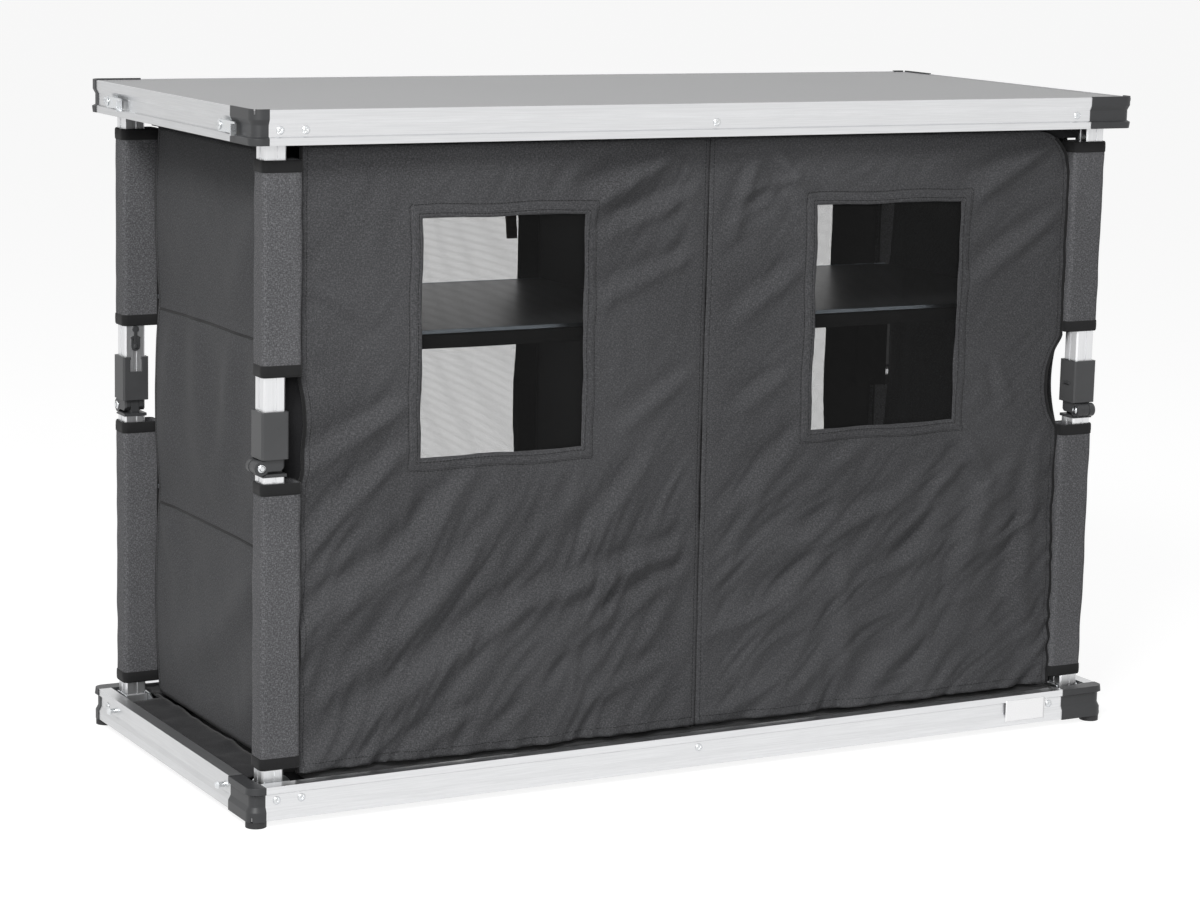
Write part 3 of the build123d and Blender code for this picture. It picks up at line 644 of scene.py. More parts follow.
def hang(sheet, body, node=None, extras=(), fold=cabinet_fold):
    """Settles a sheet and what is sewn to it, and hides the CAD node that it stands in for."""
    extras = list(extras)
    settle([sheet] + extras, body, fold)
    if node:
        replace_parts(sheet, node)


def upright_loop(x0, x1, z0, z1, steps):
    """Closed path round an upright rectangle."""
    a, b = np.linspace(x0, x1, steps + 1), np.linspace(z0, z1, steps + 1)
    x = np.concatenate([a[:-1], np.full(steps, x1), a[::-1][:-1], np.full(steps + 1, x0)])
    z = np.concatenate([np.full(steps, z0), b[:-1], np.full(steps, z1), b[::-1]])
    return x, z


def scallop_edge(z, edge, depth):
    """How far a panel's side edge lies from the middle at height z, beside the knee."""
    half = (scallop_high - scallop_low) / 2
    radius = (half ** 2 + depth ** 2) / (2 * depth)
    off = np.abs(z - (scallop_high + scallop_low) / 2)
    bite = np.sqrt(np.maximum(radius ** 2 - off ** 2, 0)) - (radius - depth)
    return edge - np.where(off < half, bite, 0.0)


def face_centres(*grids):
    return [(v[:-1, :-1] + v[1:, 1:]) / 2 for v in grids]


def outside_hole(x, z, x_range, z_range):
    """Which faces of a grid lie outside an opening."""
    mid_x, mid_z = face_centres(x, z)
    return ~((mid_x > x_range[0]) & (mid_x < x_range[1]) & (mid_z > z_range[0]) & (mid_z < z_range[1]))


# Doors

left_creases = [
    ([(-49, 742), (-160, 680)], 6.0, 12), ([(-19, 694), (-159, 640)], 4.0, 10),
    ([(-28, 617), (-157, 566)], 3.2, 10), ([(-390, 465), (-516, 393)], 4.2, 11),
    ([(-386, 418), (-505, 312)], 4.2, 11), ([(-305, 388), (-366, 301), (-504, 218)], 4.6, 13),
    ([(-272, 323), (-350, 238), (-427, 167)], 3.4, 12), ([(-76, 383), (-152, 284)], 3.0, 12),
    ([(-23, 478), (-117, 415)], 2.6, 10), ([(-22, 269), (-243, 218), (-359, 150), (-478, 70)], 5.2, 14),
    ([(-118, 241), (-193, 164)], 3.0, 11), ([(-16, 244), (-127, 188)], 3.4, 11),
    ([(-47, 134), (-158, 90)], 3.0, 11), ([(-300, 100), (-380, 62)], 3.0, 9),
    ([(-230, 96), (-280, 60)], 2.4, 8), ([(-500, 600), (-430, 560)], 2.4, 11),
]
right_creases = [
    ([(483, 738), (363, 674)], 5.6, 12), ([(494, 647), (368, 568)], 4.0, 11),
    ([(130, 602), (41, 539)], 3.6, 11), ([(91, 737), (137, 680)], 4.0, 11),
    ([(144, 402), (64, 318)], 3.6, 12), ([(234, 388), (185, 352)], 2.8, 10),
    ([(366, 388), (416, 321), (375, 201)], 4.0, 13), ([(420, 469), (441, 419)], 2.6, 9),
    ([(277, 306), (144, 264)], 3.4, 12), ([(367, 251), (293, 227)], 2.8, 11),
    ([(201, 239), (212, 91)], 2.6, 13), ([(488, 332), (468, 167), (502, 93)], 4.2, 14),
    ([(60, 720), (30, 640)], 3.0, 10), ([(110, 470), (50, 430)], 2.6, 10),
    ([(330, 130), (240, 80)], 2.8, 12),
]


def door_outline(z, hand):
    """Outer edge of a door at height z; the right door has one rounded top corner."""
    edge = scallop_edge(z, door_edge, left_scallop_depth if hand < 0 else scallop_depth)
    if hand > 0:
        over = np.clip(z - (door_high - door_corner), 0, door_corner)
        edge = edge - (door_corner - np.sqrt(door_corner ** 2 - over ** 2))
    return edge


class DoorCloth:
    """The door's surface as a function, so that seams, net and piping follow the same folds."""

    def __init__(self, hand, creases, seed):
        self.hand = hand
        self.middle = hand * (door_edge + door_gap) / 2 + window_shift
        self.creases = crease_field(creases)
        self.small = smooth_noise(seed, 0.055)
        self.broad = smooth_noise(seed + 1, 0.19)
        self.fine = smooth_noise(seed + 2, 0.020)
        pulled, gathers, crisp = fold_slants[hand]
        self.pulled = pulled_folds(seed + 3, pulled, 0.060, 0.30)
        self.gathers = pulled_folds(seed + 4, gathers, 0.054, 0.20)
        self.crisp = pulled_folds(seed + 5, crisp, 0.029, 0.12, 0.0012)

    def forward(self, x, z):
        """How far the cloth stands in front of its plane."""
        from_seam = np.abs(x) - door_gap
        crown = door_crown * (1 - (2 * rise(from_seam, door_edge - door_gap) - 1) ** 2)
        from_window = np.maximum(np.abs(x - self.middle) - window_width / 2,
                                 np.maximum(window_low - z, z - window_high))
        calm = rise(from_window, 0.035) ** 1.2
        low_part = rise(0.44 - z, 0.16)
        top_part = rise(z - 0.58, 0.12) * np.clip((0.30 - np.abs(x)) / 0.16, 0.15, 1)
        askew = (pulled_height * self.pulled(x, z) * low_part
                 + gather_height * self.gathers(x, z) * (0.25 + 0.75 * top_part))
        crisp = crisp_height * self.crisp(x, z) * np.maximum(low_part, 0.30 + 0.35 * top_part)
        folds = (self.creases(x, z) + askew + crisp) * calm * (0.05 + 0.95 * rise(from_seam - 0.006, 0.03))
        broad, small, fine = ripple_heights
        ripple = broad * self.broad(x, z) + small * self.small(x, z) * calm + fine * self.fine(x, z)
        held = 0.25 + 0.75 * rise(door_high - z, 0.04)
        belly, turned_in = 0.0022 * rise(0.36 - z, 0.30), 0.0016 * (1 - rise(from_seam, 0.012))
        return crown + (folds + ripple) * held + belly - turned_in

    def at(self, x, z, off=0.0):
        x, z = np.broadcast_arrays(x, z)
        return stacked(x, door_plane - self.forward(x, z) - off, z)

    def panel(self, name):
        middle, half, fixed = abs(self.middle), window_width / 2, 0.44
        hole = (middle - half, middle + half)
        column, row = np.meshgrid(spaced(door_gap, 50, hole[0], 60, hole[1], 20, fixed, 22, door_edge),
                                  spaced(cabinet_low, 116, window_low, 76, window_high, 26, door_high))
        stretch = (door_outline(row, self.hand) - fixed) / (door_edge - fixed)
        column = np.where(column > fixed, fixed + (column - fixed) * stretch, column)
        waver = 0.0009 * np.sin(row * 61 + self.hand) + 0.0007 * np.sin(row * 23)
        at_hole = (np.abs(column - hole[0]) < 1e-6) | (np.abs(column - hole[1]) < 1e-6)
        column = column + np.where(at_hole, waver, 0)
        return cloth_from_grid(name, self.at(self.hand * column, row), cabinet_cloth, stacked(column, row),
                               outside_hole(column, row, hole, (window_low, window_high)), self.hand > 0)

    def window_path(self, outset, off, steps=40):
        """A closed path round the window at a distance from its edge."""
        m, half = self.middle, window_width / 2 + outset
        x, z = upright_loop(m - half, m + half, window_low - outset, window_high + outset, steps)
        x = x + 0.0009 * np.sin(z * 57) * np.sign(x - m)
        z = z + 0.0010 * np.sin(x * 49) * np.sign(z - (window_low + window_high) / 2)
        return self.at(x, z, off)

    def window_border(self, name):
        """The double band of cloth sewn round the window, slightly proud of the door."""
        profile = ((0.0, 0.0004), (0.0008, 0.0008), (0.005, 0.0009), (0.009, 0.0009),
                   (border_width - 0.0008, 0.0007), (border_width, 0.0003))
        points = np.stack([self.window_path(outset, off, 44)[:-1] for outset, off in profile])
        along = np.linspace(0, 2 * (window_width + window_high - window_low), points.shape[1])
        uv = stacked(along[None, :], np.linspace(0, border_width, len(profile))[:, None])
        return cloth_from_grid(name, points, cabinet_cloth, uv, thickness=0.0007, wrap=True)

    def net(self, name):
        m, half, reach = self.middle, window_width / 2, 0.003
        up = np.linspace(window_low - reach, window_high + reach, 11)
        across = np.linspace(m - half - reach, m + half + reach, 9)
        strands = [self.at(x, up, -0.0016) for x in np.arange(m - half + net_pitch / 2, m + half, net_pitch)]
        levels = np.arange(window_low + net_pitch / 2, window_high, net_pitch)
        strands += [self.at(across, z, -0.0018) for z in levels]
        return corded(name, strands, window_net, net_strand)

    def stitches(self, name):
        z = np.linspace(cabinet_low + 0.004, door_high - 0.004, 120)
        z_edge = np.linspace(cabinet_low + 0.004, door_high - 0.006, 160)
        x_low = self.hand * np.linspace(door_gap + 0.006, door_edge - 0.010, 90)
        rows = [self.window_path(0.0045, 0.0014), self.window_path(0.0150, 0.0007),
                self.at(self.hand * (door_gap + 0.0052), z, 0.0006),
                self.at(self.hand * (door_outline(z_edge, self.hand) - 0.009), z_edge, 0.0006),
                self.at(x_low, cabinet_low + 0.010, 0.0006)]
        return stitched(name, rows, 0.0006)


def make_door(hand, creases, seed):
    side = side_names[hand]
    cloth = DoorCloth(hand, creases, seed)
    panel = cloth.panel("door_panel_" + side)
    border = cloth.window_border("window_border_" + side)
    net = cloth.net("window_net_" + side)
    stitches = cloth.stitches("door_stitches_" + side)
    z = np.linspace(cabinet_low, door_high - (0.010 if hand > 0 else 0.0), 170)
    edge = cloth.at(hand * (door_outline(z, hand) - 0.0016), z, 0.0004)
    extras = [border, net, stitches, corded("door_piping_" + side, [edge], round_piping, 0.0042)]
    if hand < 0:
        x, z = np.meshgrid(np.linspace(-0.008, 0.0045, 5), np.linspace(cabinet_low, door_high, 120))
        extras.append(cloth_from_grid("door_seam_flap", cloth.at(x, z, -0.0017), hem_tape, stacked(x, z),
                                      thickness=0.0008))
    hang(panel, side + "_door", "door_" + side, extras)


# Side walls, back wall, divider, skirt and floor

wall_creases = [
    ([(-150, 700), (-60, 560)], 2.0, 26), ([(-60, 520), (-20, 330)], 2.8, 26),
    ([(60, 530), (20, 340)], 2.4, 28), ([(130, 515), (150, 350)], 2.2, 24),
    ([(-150, 500), (-165, 350)], 2.2, 22),
    ([(-170, 280), (-20, 170), (120, 120)], 3.2, 26), ([(-190, 160), (-80, 80)], 2.4, 22),
    ([(170, 290), (90, 200)], 2.2, 22),
]


def make_side_wall(hand, seed):
    """Side of the cabinet: three bays between seams, with folds."""
    side = side_names[hand]
    creases = crease_field([([(-hand * y, z) for y, z in points], height, width)
                            for points, height, width in wall_creases])
    broad, small = smooth_noise(seed, 0.16), smooth_noise(seed + 1, 0.05)
    levels = (cabinet_low, *shelf_levels, cabinet_high)

    def at(y, z, off=0.0):
        y, z = np.broadcast_arrays(y, z)
        out, seam = np.zeros(y.shape), np.ones(y.shape)
        for low, high in zip(levels[:-1], levels[1:]):
            share = (z - low) / (high - low)
            inside = (share >= 0) & (share <= 1)
            out = np.where(inside, bay_bulge * (1 - (2 * share - 1) ** 2), out)
            seam = np.where(inside, rise(np.minimum(share, 1 - share), 0.16), seam)
        free = (0.3 + 0.7 * seam) * (0.3 + 0.7 * rise(np.minimum(y - side_front, side_rear - y), 0.03))
        out = out + (creases(y, z) + 0.0012 * broad(y, z) + 0.0004 * small(y, z)) * free
        return stacked(hand * (side_plane + out + off), y, z)

    inner = -0.15
    y, z = np.meshgrid(spaced(side_front, 12, inner, 58, side_rear),
                       spaced(levels[0], 46, levels[1], 44, levels[2], 38, levels[3]))
    front = -scallop_edge(z, -side_front, side_scallop_depth)
    y = np.where(y < inner, inner + (y - inner) * (front - inner) / (side_front - inner), y)
    wall = cloth_from_grid("side_wall_" + side, at(y, z), cabinet_cloth, stacked(y, z), flip=hand < 0)
    bands = []
    for level in shelf_levels:
        y = np.linspace(side_front + 0.002, side_rear - 0.002, 60)
        share = (y - side_front) / (side_rear - side_front)
        centre = level - 0.012 - 0.004 * (level < 0.4) + 0.0025 * np.sin(share * math.pi)
        strip = np.stack([at(y, centre + dz, off) for dz, off in
                          ((-0.0014, 0.0003), (-0.0010, 0.0008), (0.0010, 0.0008), (0.0014, 0.0003))])
        bands.append(cloth_from_grid("seam_band", strip, hem_tape,
                                     stacked(y[None, :], np.linspace(0, 0.003, 4)[:, None]), flip=hand < 0,
                                     thickness=0.0006))
    z = np.linspace(0.054, 0.742, 120)
    front = 0.006 - scallop_edge(z, -side_front, side_scallop_depth)
    rows = [at(front, z, 0.0008), at(side_rear - 0.006, z, 0.0008)]
    extras = [joined("side_seams_" + side, bands), stitched("side_stitches_" + side, rows, 0.0005)]
    hang(wall, "bottom_frame",
         "side_cloth_" + side, extras)


def make_knee_shade_sheet(corner_name, path, low, high):
    """Dark cloth across a cabinet corner behind the knee, where the panels are cut away for the hand; a dark
    sheet put there as painted shade, closing the gap where the backdrop would show through.
    """
    path = np.array(path)
    run = lengths_along(path)
    along, z = np.meshgrid(np.linspace(0, run[-1], 16), np.linspace(low, high, 30))
    slack = 0.0009 * np.sin(z * 95 + along * 60) * np.sin(along / run[-1] * math.pi)
    x = np.interp(along, run, path[:, 0]) - slack * np.sign(path[0, 0])
    shade_sheet = cloth_from_grid("knee_gusset_" + corner_name, stacked(x, np.interp(along, run, path[:, 1]), z),
                             inner_cloth, stacked(along, z))
    hang(shade_sheet, "bottom_frame")


def make_back_wall():
    """Back wall with an opening in each column and a tie tab at the top of each."""
    broad, small = smooth_noise(71, 0.15), smooth_noise(72, 0.05)
    near, far = back_hole_x
    hole_low, hole_high = back_hole_z
    fixed = 0.475

    def at(x, z, off=0.0):
        x, z = np.broadcast_arrays(x, z)
        crown = 0.004 * (1 - (x / door_edge) ** 2)
        wave = 0.0014 * broad(x, z) + 0.0005 * small(x, z)
        return stacked(x, back_plane + crown + wave + off, z)

    half = spaced(0.0, 4, near, 56, far, 4, fixed, 8, door_edge)
    x, z = np.meshgrid(np.concatenate([-half[::-1][:-1], half]),
                       spaced(cabinet_low, 8, hole_low, 76, hole_high, 8, cabinet_high))
    out = np.abs(x)
    stretch = (scallop_edge(z, door_edge, scallop_depth) - fixed) / (door_edge - fixed)
    x = np.where(out > fixed, np.sign(x) * (fixed + (out - fixed) * stretch), x)
    wave = np.where(np.abs(out - near) < 1e-5, 0.003 * np.sin(z * 21 + x * 9), 0)
    wave = wave + np.where(np.abs(out - far) < 1e-5, -0.004 * np.sin(z * 15 + x * 4) - 0.002, 0)
    x = x + wave * np.sign(x)
    wall = cloth_from_grid("back_wall", at(x, z), inner_cloth, stacked(x, z),
                           outside_hole(np.abs(x), z, back_hole_x, back_hole_z), True)
    bands, tabs = [], []
    for hand in (-1, 1):
        x0, x1 = sorted((hand * near, hand * far))
        profile = ((0.012, 0.0004), (0.011, 0.0013), (0.001, 0.0013), (0.0, 0.0004))
        ring = []
        for o, off in profile:
            x, z = upright_loop(x0 - o, x1 + o, hole_low - o, hole_high + o, 40)
            ring.append(at(x[:-1], z[:-1], off))
        ring = np.stack(ring)
        uv = stacked(np.linspace(0, 2.0, ring.shape[1])[None, :], np.linspace(0, 0.012, 4)[:, None])
        bands.append(cloth_from_grid("back_band", ring, hem_tape, uv, thickness=0.0007, wrap=True))
        u, v = np.meshgrid(np.linspace(-0.0075, 0.0075, 6), np.linspace(0, tie_length, 14))
        curl = 0.004 * np.sin(v / tie_length * 2.4) + 0.002
        tab = stacked(tie_places[hand] + u + 0.1 * v, 0.2055 - curl, hole_high + 0.004 - v)
        tabs.append(cloth_from_grid("tie_tab", tab, tie_tape, stacked(u, v), thickness=0.0014))
    hang(wall, "bottom_frame", "back_cloth",
         [joined("back_binding", bands), joined("back_tie_tabs", tabs)])


def make_divider():
    """Middle wall, hung between front and back, with soft upright folds."""
    front, back, low = -0.2150, 0.2053, 0.0453
    y, z = np.meshgrid(np.linspace(front, back, 70), np.linspace(low, cabinet_high, 90))
    wave = 0.0016 * np.sin(y * 62 + 0.6 * np.sin(z * 9)) * rise(z - low, 0.1)
    calm = 1.0
    for level in shelf_levels:
        calm = calm * np.clip(np.abs(z - level) / 0.03, 0.15, 1)
    x = (wave * 0.5 + 0.0004 * smooth_noise(91, 0.09)(y, z)) * calm
    wall = cloth_from_grid("divider_wall", stacked(x, y, z), inner_cloth, stacked(y, z))
    hang(wall, "bottom_frame", "divider_cloth",
         fold=divider_fold)


def make_skirt():
    """The cabinet's top edge: cloth strips that hang from under the worktop inside the rails."""
    low, high = 0.7465, 0.7939
    runs = [((-0.513, -0.2187), (0.5294, -0.2187)), ((0.5294, -0.2187), (0.5294, 0.197)),
            ((0.512, 0.2047), (-0.5294, 0.2047)), ((-0.5294, 0.2047), (-0.5294, -0.197))]
    field = smooth_noise(55, 0.07)
    strips = []
    length = 0.0
    for number, (a, b) in enumerate(np.array(runs)):
        run = np.linalg.norm(b - a)
        along = (b - a) / run
        s, z = np.meshgrid(np.linspace(0, run, int(run / 0.008)), np.linspace(low, high, 9))
        sway = 0.0007 * field(s + number, z * 2) * rise(high - z, 0.02)
        points = stacked(a[0] + along[0] * s + along[1] * sway, a[1] + along[1] * s - along[0] * sway, z)
        strips.append(cloth_from_grid("skirt_strip", points, inner_cloth, stacked(s + length, z)))
        length += run
    hang(joined("top_skirt_cloth", strips), "top_frame", "top_skirt",
         fold=None)


def make_floor_tub():
    """Floor of the cabinet as one sheet: flat on the board, up to a rim, out to the rails."""
    floor, rim, brim_top = tub_levels

    def profile(wall, brim, steps):
        half = spaced(0.0, steps, wall)
        place = np.concatenate([half, np.full(5, wall), np.linspace(wall, brim, 9)[1:]])
        up = np.concatenate([np.zeros(len(half)), np.linspace(0, 1, 6)[1:], np.ones(8)])
        return np.concatenate([-place[::-1][:-1], place]), np.concatenate([up[::-1][:-1], up])

    px, rx = profile(tub_wall[0], tub_brim[0], 66)
    py, ry = profile(tub_wall[1], tub_brim[1], 26)
    x, y = np.meshgrid(px, py)
    up = np.maximum(*np.meshgrid(rx, ry))
    wrinkle, fine = smooth_noise(33, 0.06)(x, y), smooth_noise(34, 0.022)(x, y)
    lift = np.where(up > 0.999, 0.0016 * wrinkle + 0.0008 * fine - 0.001, 0.0005 * np.abs(wrinkle))
    z = np.clip(floor + (rim - floor) * up + lift, floor, brim_top)
    mid_x, mid_y = face_centres(x, y)
    keep = np.ones(mid_x.shape, bool)
    for sx, sy in leg_corners.values():
        reach_x, reach_y = (0.0405, 0.0205) if sx == sy else (0.0205, 0.0405)
        keep &= ~((np.sign(mid_x) == sx) & (np.abs(mid_x) > leg_x - reach_x)
                  & (np.sign(mid_y) == sy) & (np.abs(mid_y) > leg_y - reach_y))
    run_x, run_y = (lengths_along(stacked(p, r * (rim - floor))) for p, r in ((px, rx), (py, ry)))
    tub = cloth_from_grid("floor_cloth_tub", stacked(x, y, z), floor_cloth,
                          stacked(*np.meshgrid(run_x, run_y)), keep, thickness=0.0010)
    hang(tub, "bottom_frame", "floor_tub", fold=None)


# Leg sleeves

def sleeve_outline():
    """Closed rounded outline in plan, from the leg's axis; x is towards the case's outside."""
    corner, steps, half = 0.0045, 5, sleeve_half
    centres = [(half - corner, half - corner), (-sleeve_reach + corner, half - corner),
               (-sleeve_reach + corner, -half + corner), (half - corner, -half + corner)]
    points = []
    for quarter, (cx, cy) in enumerate(centres):
        for k in range(steps + 1):
            angle = math.radians(90.0 * quarter + 90.0 * k / steps)
            points.append((cx + corner * math.cos(angle), cy + corner * math.sin(angle)))
    dense = []
    for here, there in zip(points, points[1:] + points[:1]):
        dx, dy = there[0] - here[0], there[1] - here[1]
        parts = max(1, int(math.hypot(dx, dy) / 0.003))
        dense.extend((here[0] + dx * j / parts, here[1] + dy * j / parts) for j in range(parts))
    return np.array(dense)


def make_sleeve(level, corner_name, sx, sy, seed):
    """Cloth loop round one leg half with bound hems at both ends."""
    low, high = sleeve_spans[level]
    tag = "%s_%s" % (level, corner_name)
    outline = sleeve_outline()
    ahead = np.roll(outline, -1, axis=0) - np.roll(outline, 1, axis=0)
    ahead = ahead / np.linalg.norm(ahead, axis=1)[:, None]
    normal = np.stack([ahead[:, 1], -ahead[:, 0]], axis=-1)
    field, broad = smooth_noise(seed, 0.05), smooth_noise(seed + 1, 0.14)
    around = lengths_along(outline)

    def at(z, off, index=slice(None)):
        a = around[index][None, :]
        z = np.asarray(z, float)[:, None]
        loose = np.clip(-outline[index][:, 0] / sleeve_reach, 0, 1)[None, :]
        near_end = rise(np.minimum(z - low, high - z), 0.03)
        gather = rise(z - high + 0.06, 0.05) * rise(high - 0.010 - z, 0.01)
        pucker = 0.0006 * gather * np.maximum(np.sin(a * 520 + 2.0 * field(a, z * 0.5)), -0.4)
        slack = (0.0005 * field(a, z) + 0.0008 * np.maximum(broad(a * 0.6, z), 0)
                 + 0.0014 * loose * np.maximum(field(a * 0.5, z * 0.6), -0.2))
        out = 0.0004 + pucker + slack * (0.3 + 0.7 * near_end) + off
        x, y = (outline[index][None, :, k] + normal[index][None, :, k] * out for k in (0, 1))
        return stacked(sx * (leg_x + x), sy * leg_y + y * sy, z)

    def loop(name, levels, points, material, thickness):
        return cloth_from_grid(name, points, material, stacked(around[None, :], levels[:, None]),
                               flip=sx * sy < 0, thickness=thickness, wrap=True)

    zs = np.linspace(low, high, int((high - low) / 0.005))
    sleeve = loop("sleeve_" + tag, zs, at(zs, 0.0), sleeve_cloth, 0.0010)
    hems = []
    for base, sign in ((low, 1), (high, -1)):
        levels = base + sign * np.array([-0.0006, 0.0010, 0.0065, 0.0118, 0.0125])[::sign]
        offs = np.array([0.0002, 0.0010, 0.0012, 0.0010, 0.0003])[::sign]
        points = np.concatenate([at([z], off) for z, off in zip(levels, offs)])
        hems.append(loop("hem", levels, points, hem_tape, 0.0008))
    hem = joined("sleeve_hems_" + tag, hems)
    seam = int(np.argmin(outline[:, 0] + 2.0 * outline[:, 1]))
    path = at(np.linspace(low + 0.002, high - 0.002, 60), 0.0008, slice(seam, seam + 1))[:, 0]
    piping = corded("sleeve_edge_" + tag, [path], round_piping, 0.0026)
    fold = None
    if sx == sy:
        fold = {"axis": (1, 0, 0), "anchor": (sx * (leg_x + sleeve_half), 0, 0), "keep": sleeve_snug}
    hang(sleeve, level + "_leg_" + corner_name,
         level + "_sleeve_" + corner_name, [hem, piping], fold)


# Small hardware

def head_template(name, radius, height, recess=True):
    """A low domed head, flat side on z = 0, with or without a cross recess."""
    turns, rings = 32, 9
    arm_half, arm_reach = 0.13, 0.56
    circle = [(math.cos(2 * math.pi * k / turns), math.sin(2 * math.pi * k / turns)) for k in range(turns)]
    spots = [(0.0, 0.0)] + [(radius * ring / rings * c, radius * ring / rings * s)
                            for ring in range(1, rings + 1) for c, s in circle]
    vertices = []
    for x, y in spots:
        z = height * (1 - (math.hypot(x, y) / radius) ** 2.6 * 0.75)
        near, far = sorted((abs(x) / radius, abs(y) / radius))
        if recess and near < arm_half and far < arm_reach:
            z = z - height * 0.62 * (1 - 0.5 * far / arm_reach)
        vertices.append((x, y, z))
    vertices.extend((radius * c, radius * s, 0.0) for c, s in circle)
    faces = [(0, 1 + k, 1 + (k + 1) % turns) for k in range(turns)]
    for a in range(1, 1 + rings * turns, turns):
        b = a + turns
        faces.extend((a + k, b + k, b + (k + 1) % turns, a + (k + 1) % turns) for k in range(turns))
    faces.append(tuple(1 + rings * turns + k for k in reversed(range(turns))))
    return mesh_object(name, vertices, faces, zinc)


def fastener_sites(z):
    """Places and facings of the heads along the rails of one case half, as the part has them."""
    sites = []
    for side in range(4):
        along, away = case_width / 2, case_depth / 2
        runs = [-along + 0.034, -along + 0.064, -0.010, along - 0.084]
        if side % 2:
            along, away = away, along
            runs = [-along + 0.044]
        turn = Matrix.Rotation(math.pi / 2 * side, 3, "Z")
        for x in runs:
            place = turn @ Vector((x, -away + groove_face, 0))
            sites.append(((place.x, place.y, z), tuple(turn @ Vector((0, -1, 0)))))
    return sites


def pivot_sites(z):
    """Hook pivots on the two ends of the upper half."""
    return [((hand * pivot_face, hand * y, z), (float(hand), 0.0, 0.0)) for hand in (-1, 1) for y in pivot_y]


def knee_rivet_sites(side, sx, sy):
    """Both ends of a knee pin; it stands off the leg's axis, away from the way the knee folds."""
    turn = Matrix.Rotation(math.pi / 2 * side, 3, "Z")
    leg = Vector((sx * leg_x, sy * leg_y, knee_height))
    sites = []
    for way in (-1, 1):
        place = turn @ Vector((-knee_offset, way * knee_half, 0)) + leg
        sites.append((tuple(place), tuple(turn @ Vector((0, way, 0)))))
    return sites


def make_heads(name, body, sites, template, scale, seed):
    rng = np.random.default_rng(seed)
    mesh = bpy.data.meshes.new(name)
    mesh.from_pydata([place for place, facing in sites], [], [])
    mesh.attributes.new("facing", "FLOAT_VECTOR", "POINT")
    mesh.attributes.new("slot_turn", "FLOAT", "POINT")
    for k, (place, facing) in enumerate(sites):
        mesh.attributes["facing"].data[k].vector = facing
        mesh.attributes["slot_turn"].data[k].value = float(rng.uniform(0, math.pi / 2))
    made = grown(placed(name, mesh), head_tree(name + "_tree", template, zinc), {"Head scale": scale})
    settle([made], body)
    return made


def turned_rod(name, start, end, radius):
    """A plain round rod between two points."""
    start, end = Vector(start), Vector(end)
    work = bmesh.new()
    bmesh.ops.create_cone(work, cap_ends=True, segments=32, radius1=radius, radius2=radius,
                          depth=(end - start).length)
    turn = (end - start).to_track_quat("Z", "Y").to_matrix().to_4x4()
    bmesh.ops.transform(work, matrix=Matrix.Translation((start + end) / 2) @ turn, verts=work.verts)
    return block_object(name, work, zinc)


def eased_strip(name, low, high):
    """A long strip with eased edges, placed by its corners."""
    work = bmesh.new()
    bmesh.ops.create_cube(work, size=1.0)
    bmesh.ops.scale(work, vec=Vector(high) - Vector(low), verts=work.verts)
    bmesh.ops.translate(work, vec=(Vector(high) + Vector(low)) / 2, verts=work.verts)
    bmesh.ops.bevel(work, geom=work.edges[:], offset=0.0005, segments=2, profile=0.5, affect="EDGES")
    return block_object(name, work, shelf_edge_metal)


def make_upper_heads(template):
    z = rail_head_levels["top"]
    pieces = [make_heads("upper_rail_heads", "top_frame", fastener_sites(z), template, 1.0, 6),
              make_heads("hook_pivot_heads", "top_frame", pivot_sites(z), template, 1.08, 7)]
    for (x, y, height), (hand, _, _) in pivot_sites(z):
        for near, far, radius in pivot_steps:
            ends = [(hand * x, y, height) for x in (near, far)]
            pieces.append(turned_rod("pivot_shank", *ends, radius))
    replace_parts(joined("upper_rail_heads", pieces), "top_fasteners")


def make_shelf_trim(level_name, z):
    """Front and back edge strips of a pair of shelves and the dark hem under the front edge."""
    trims, hems = [], []
    for hand in (-1, 1):
        x0, x1 = sorted(hand * x for x in shelf_x)
        for y0, y1 in shelf_strips_y:
            trims.append(eased_strip("strip", (x0, y0, z - shelf_half), (x1, y1, z + shelf_half)))
        x, down = np.meshgrid(np.linspace(x0 + 0.001, x1 - 0.001, 90), np.linspace(0, shelf_hem, 6))
        wave = 0.0012 * np.sin(x * 41 + z * 30) * down / shelf_hem
        hems.append(cloth_from_grid("hem", stacked(x, -0.1905 + wave, z - 0.0028 - down), hem_tape,
                                    stacked(x, down), thickness=0.0008))
    trim = joined("shelf_edge_strips_" + level_name, trims)
    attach(trim, level_name + "_shelves")
    settle([joined("shelf_hems_" + level_name, hems)], level_name + "_shelves")


def make_label():
    """Blank white label across the two lips of the lower front rail."""
    x, z = np.meshgrid(np.linspace(*(case_width / 2 - off for off in label_from_end), 24),
                       np.linspace(*label_levels, 21))
    y = label_front + 0.00008 * np.sin(x * 260 + z * 190)
    label = cloth_from_grid("blank_label", stacked(x, y, z), label_foil, stacked(x, z), thickness=0.0002)
    settle([label], "bottom_frame")


make_door(-1, left_creases, 11)
make_door(1, right_creases, 21)
make_side_wall(-1, 41)
make_side_wall(1, 45)
make_back_wall()
make_divider()
make_skirt()
make_floor_tub()
for number, (corner_name, (sx, sy)) in enumerate(leg_corners.items()):
    make_sleeve("lower", corner_name, sx, sy, 100 + 10 * number)
    make_sleeve("upper", corner_name, sx, sy, 105 + 10 * number)
make_shelf_trim("lower", shelf_levels[0])
make_shelf_trim("upper", shelf_levels[1])
make_label()
rail_head = head_template("rail_head_shape", radius=0.0046, height=0.0021)
lower_heads = make_heads("lower_rail_heads", "bottom_frame", fastener_sites(rail_head_levels["bottom"]),
                         rail_head, 1.0, 5)
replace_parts(lower_heads, "bottom_fasteners")
make_upper_heads(rail_head)
bpy.data.objects.remove(rail_head)
knee_dome = head_template("knee_dome_shape", radius=0.0049, height=0.0026, recess=False)
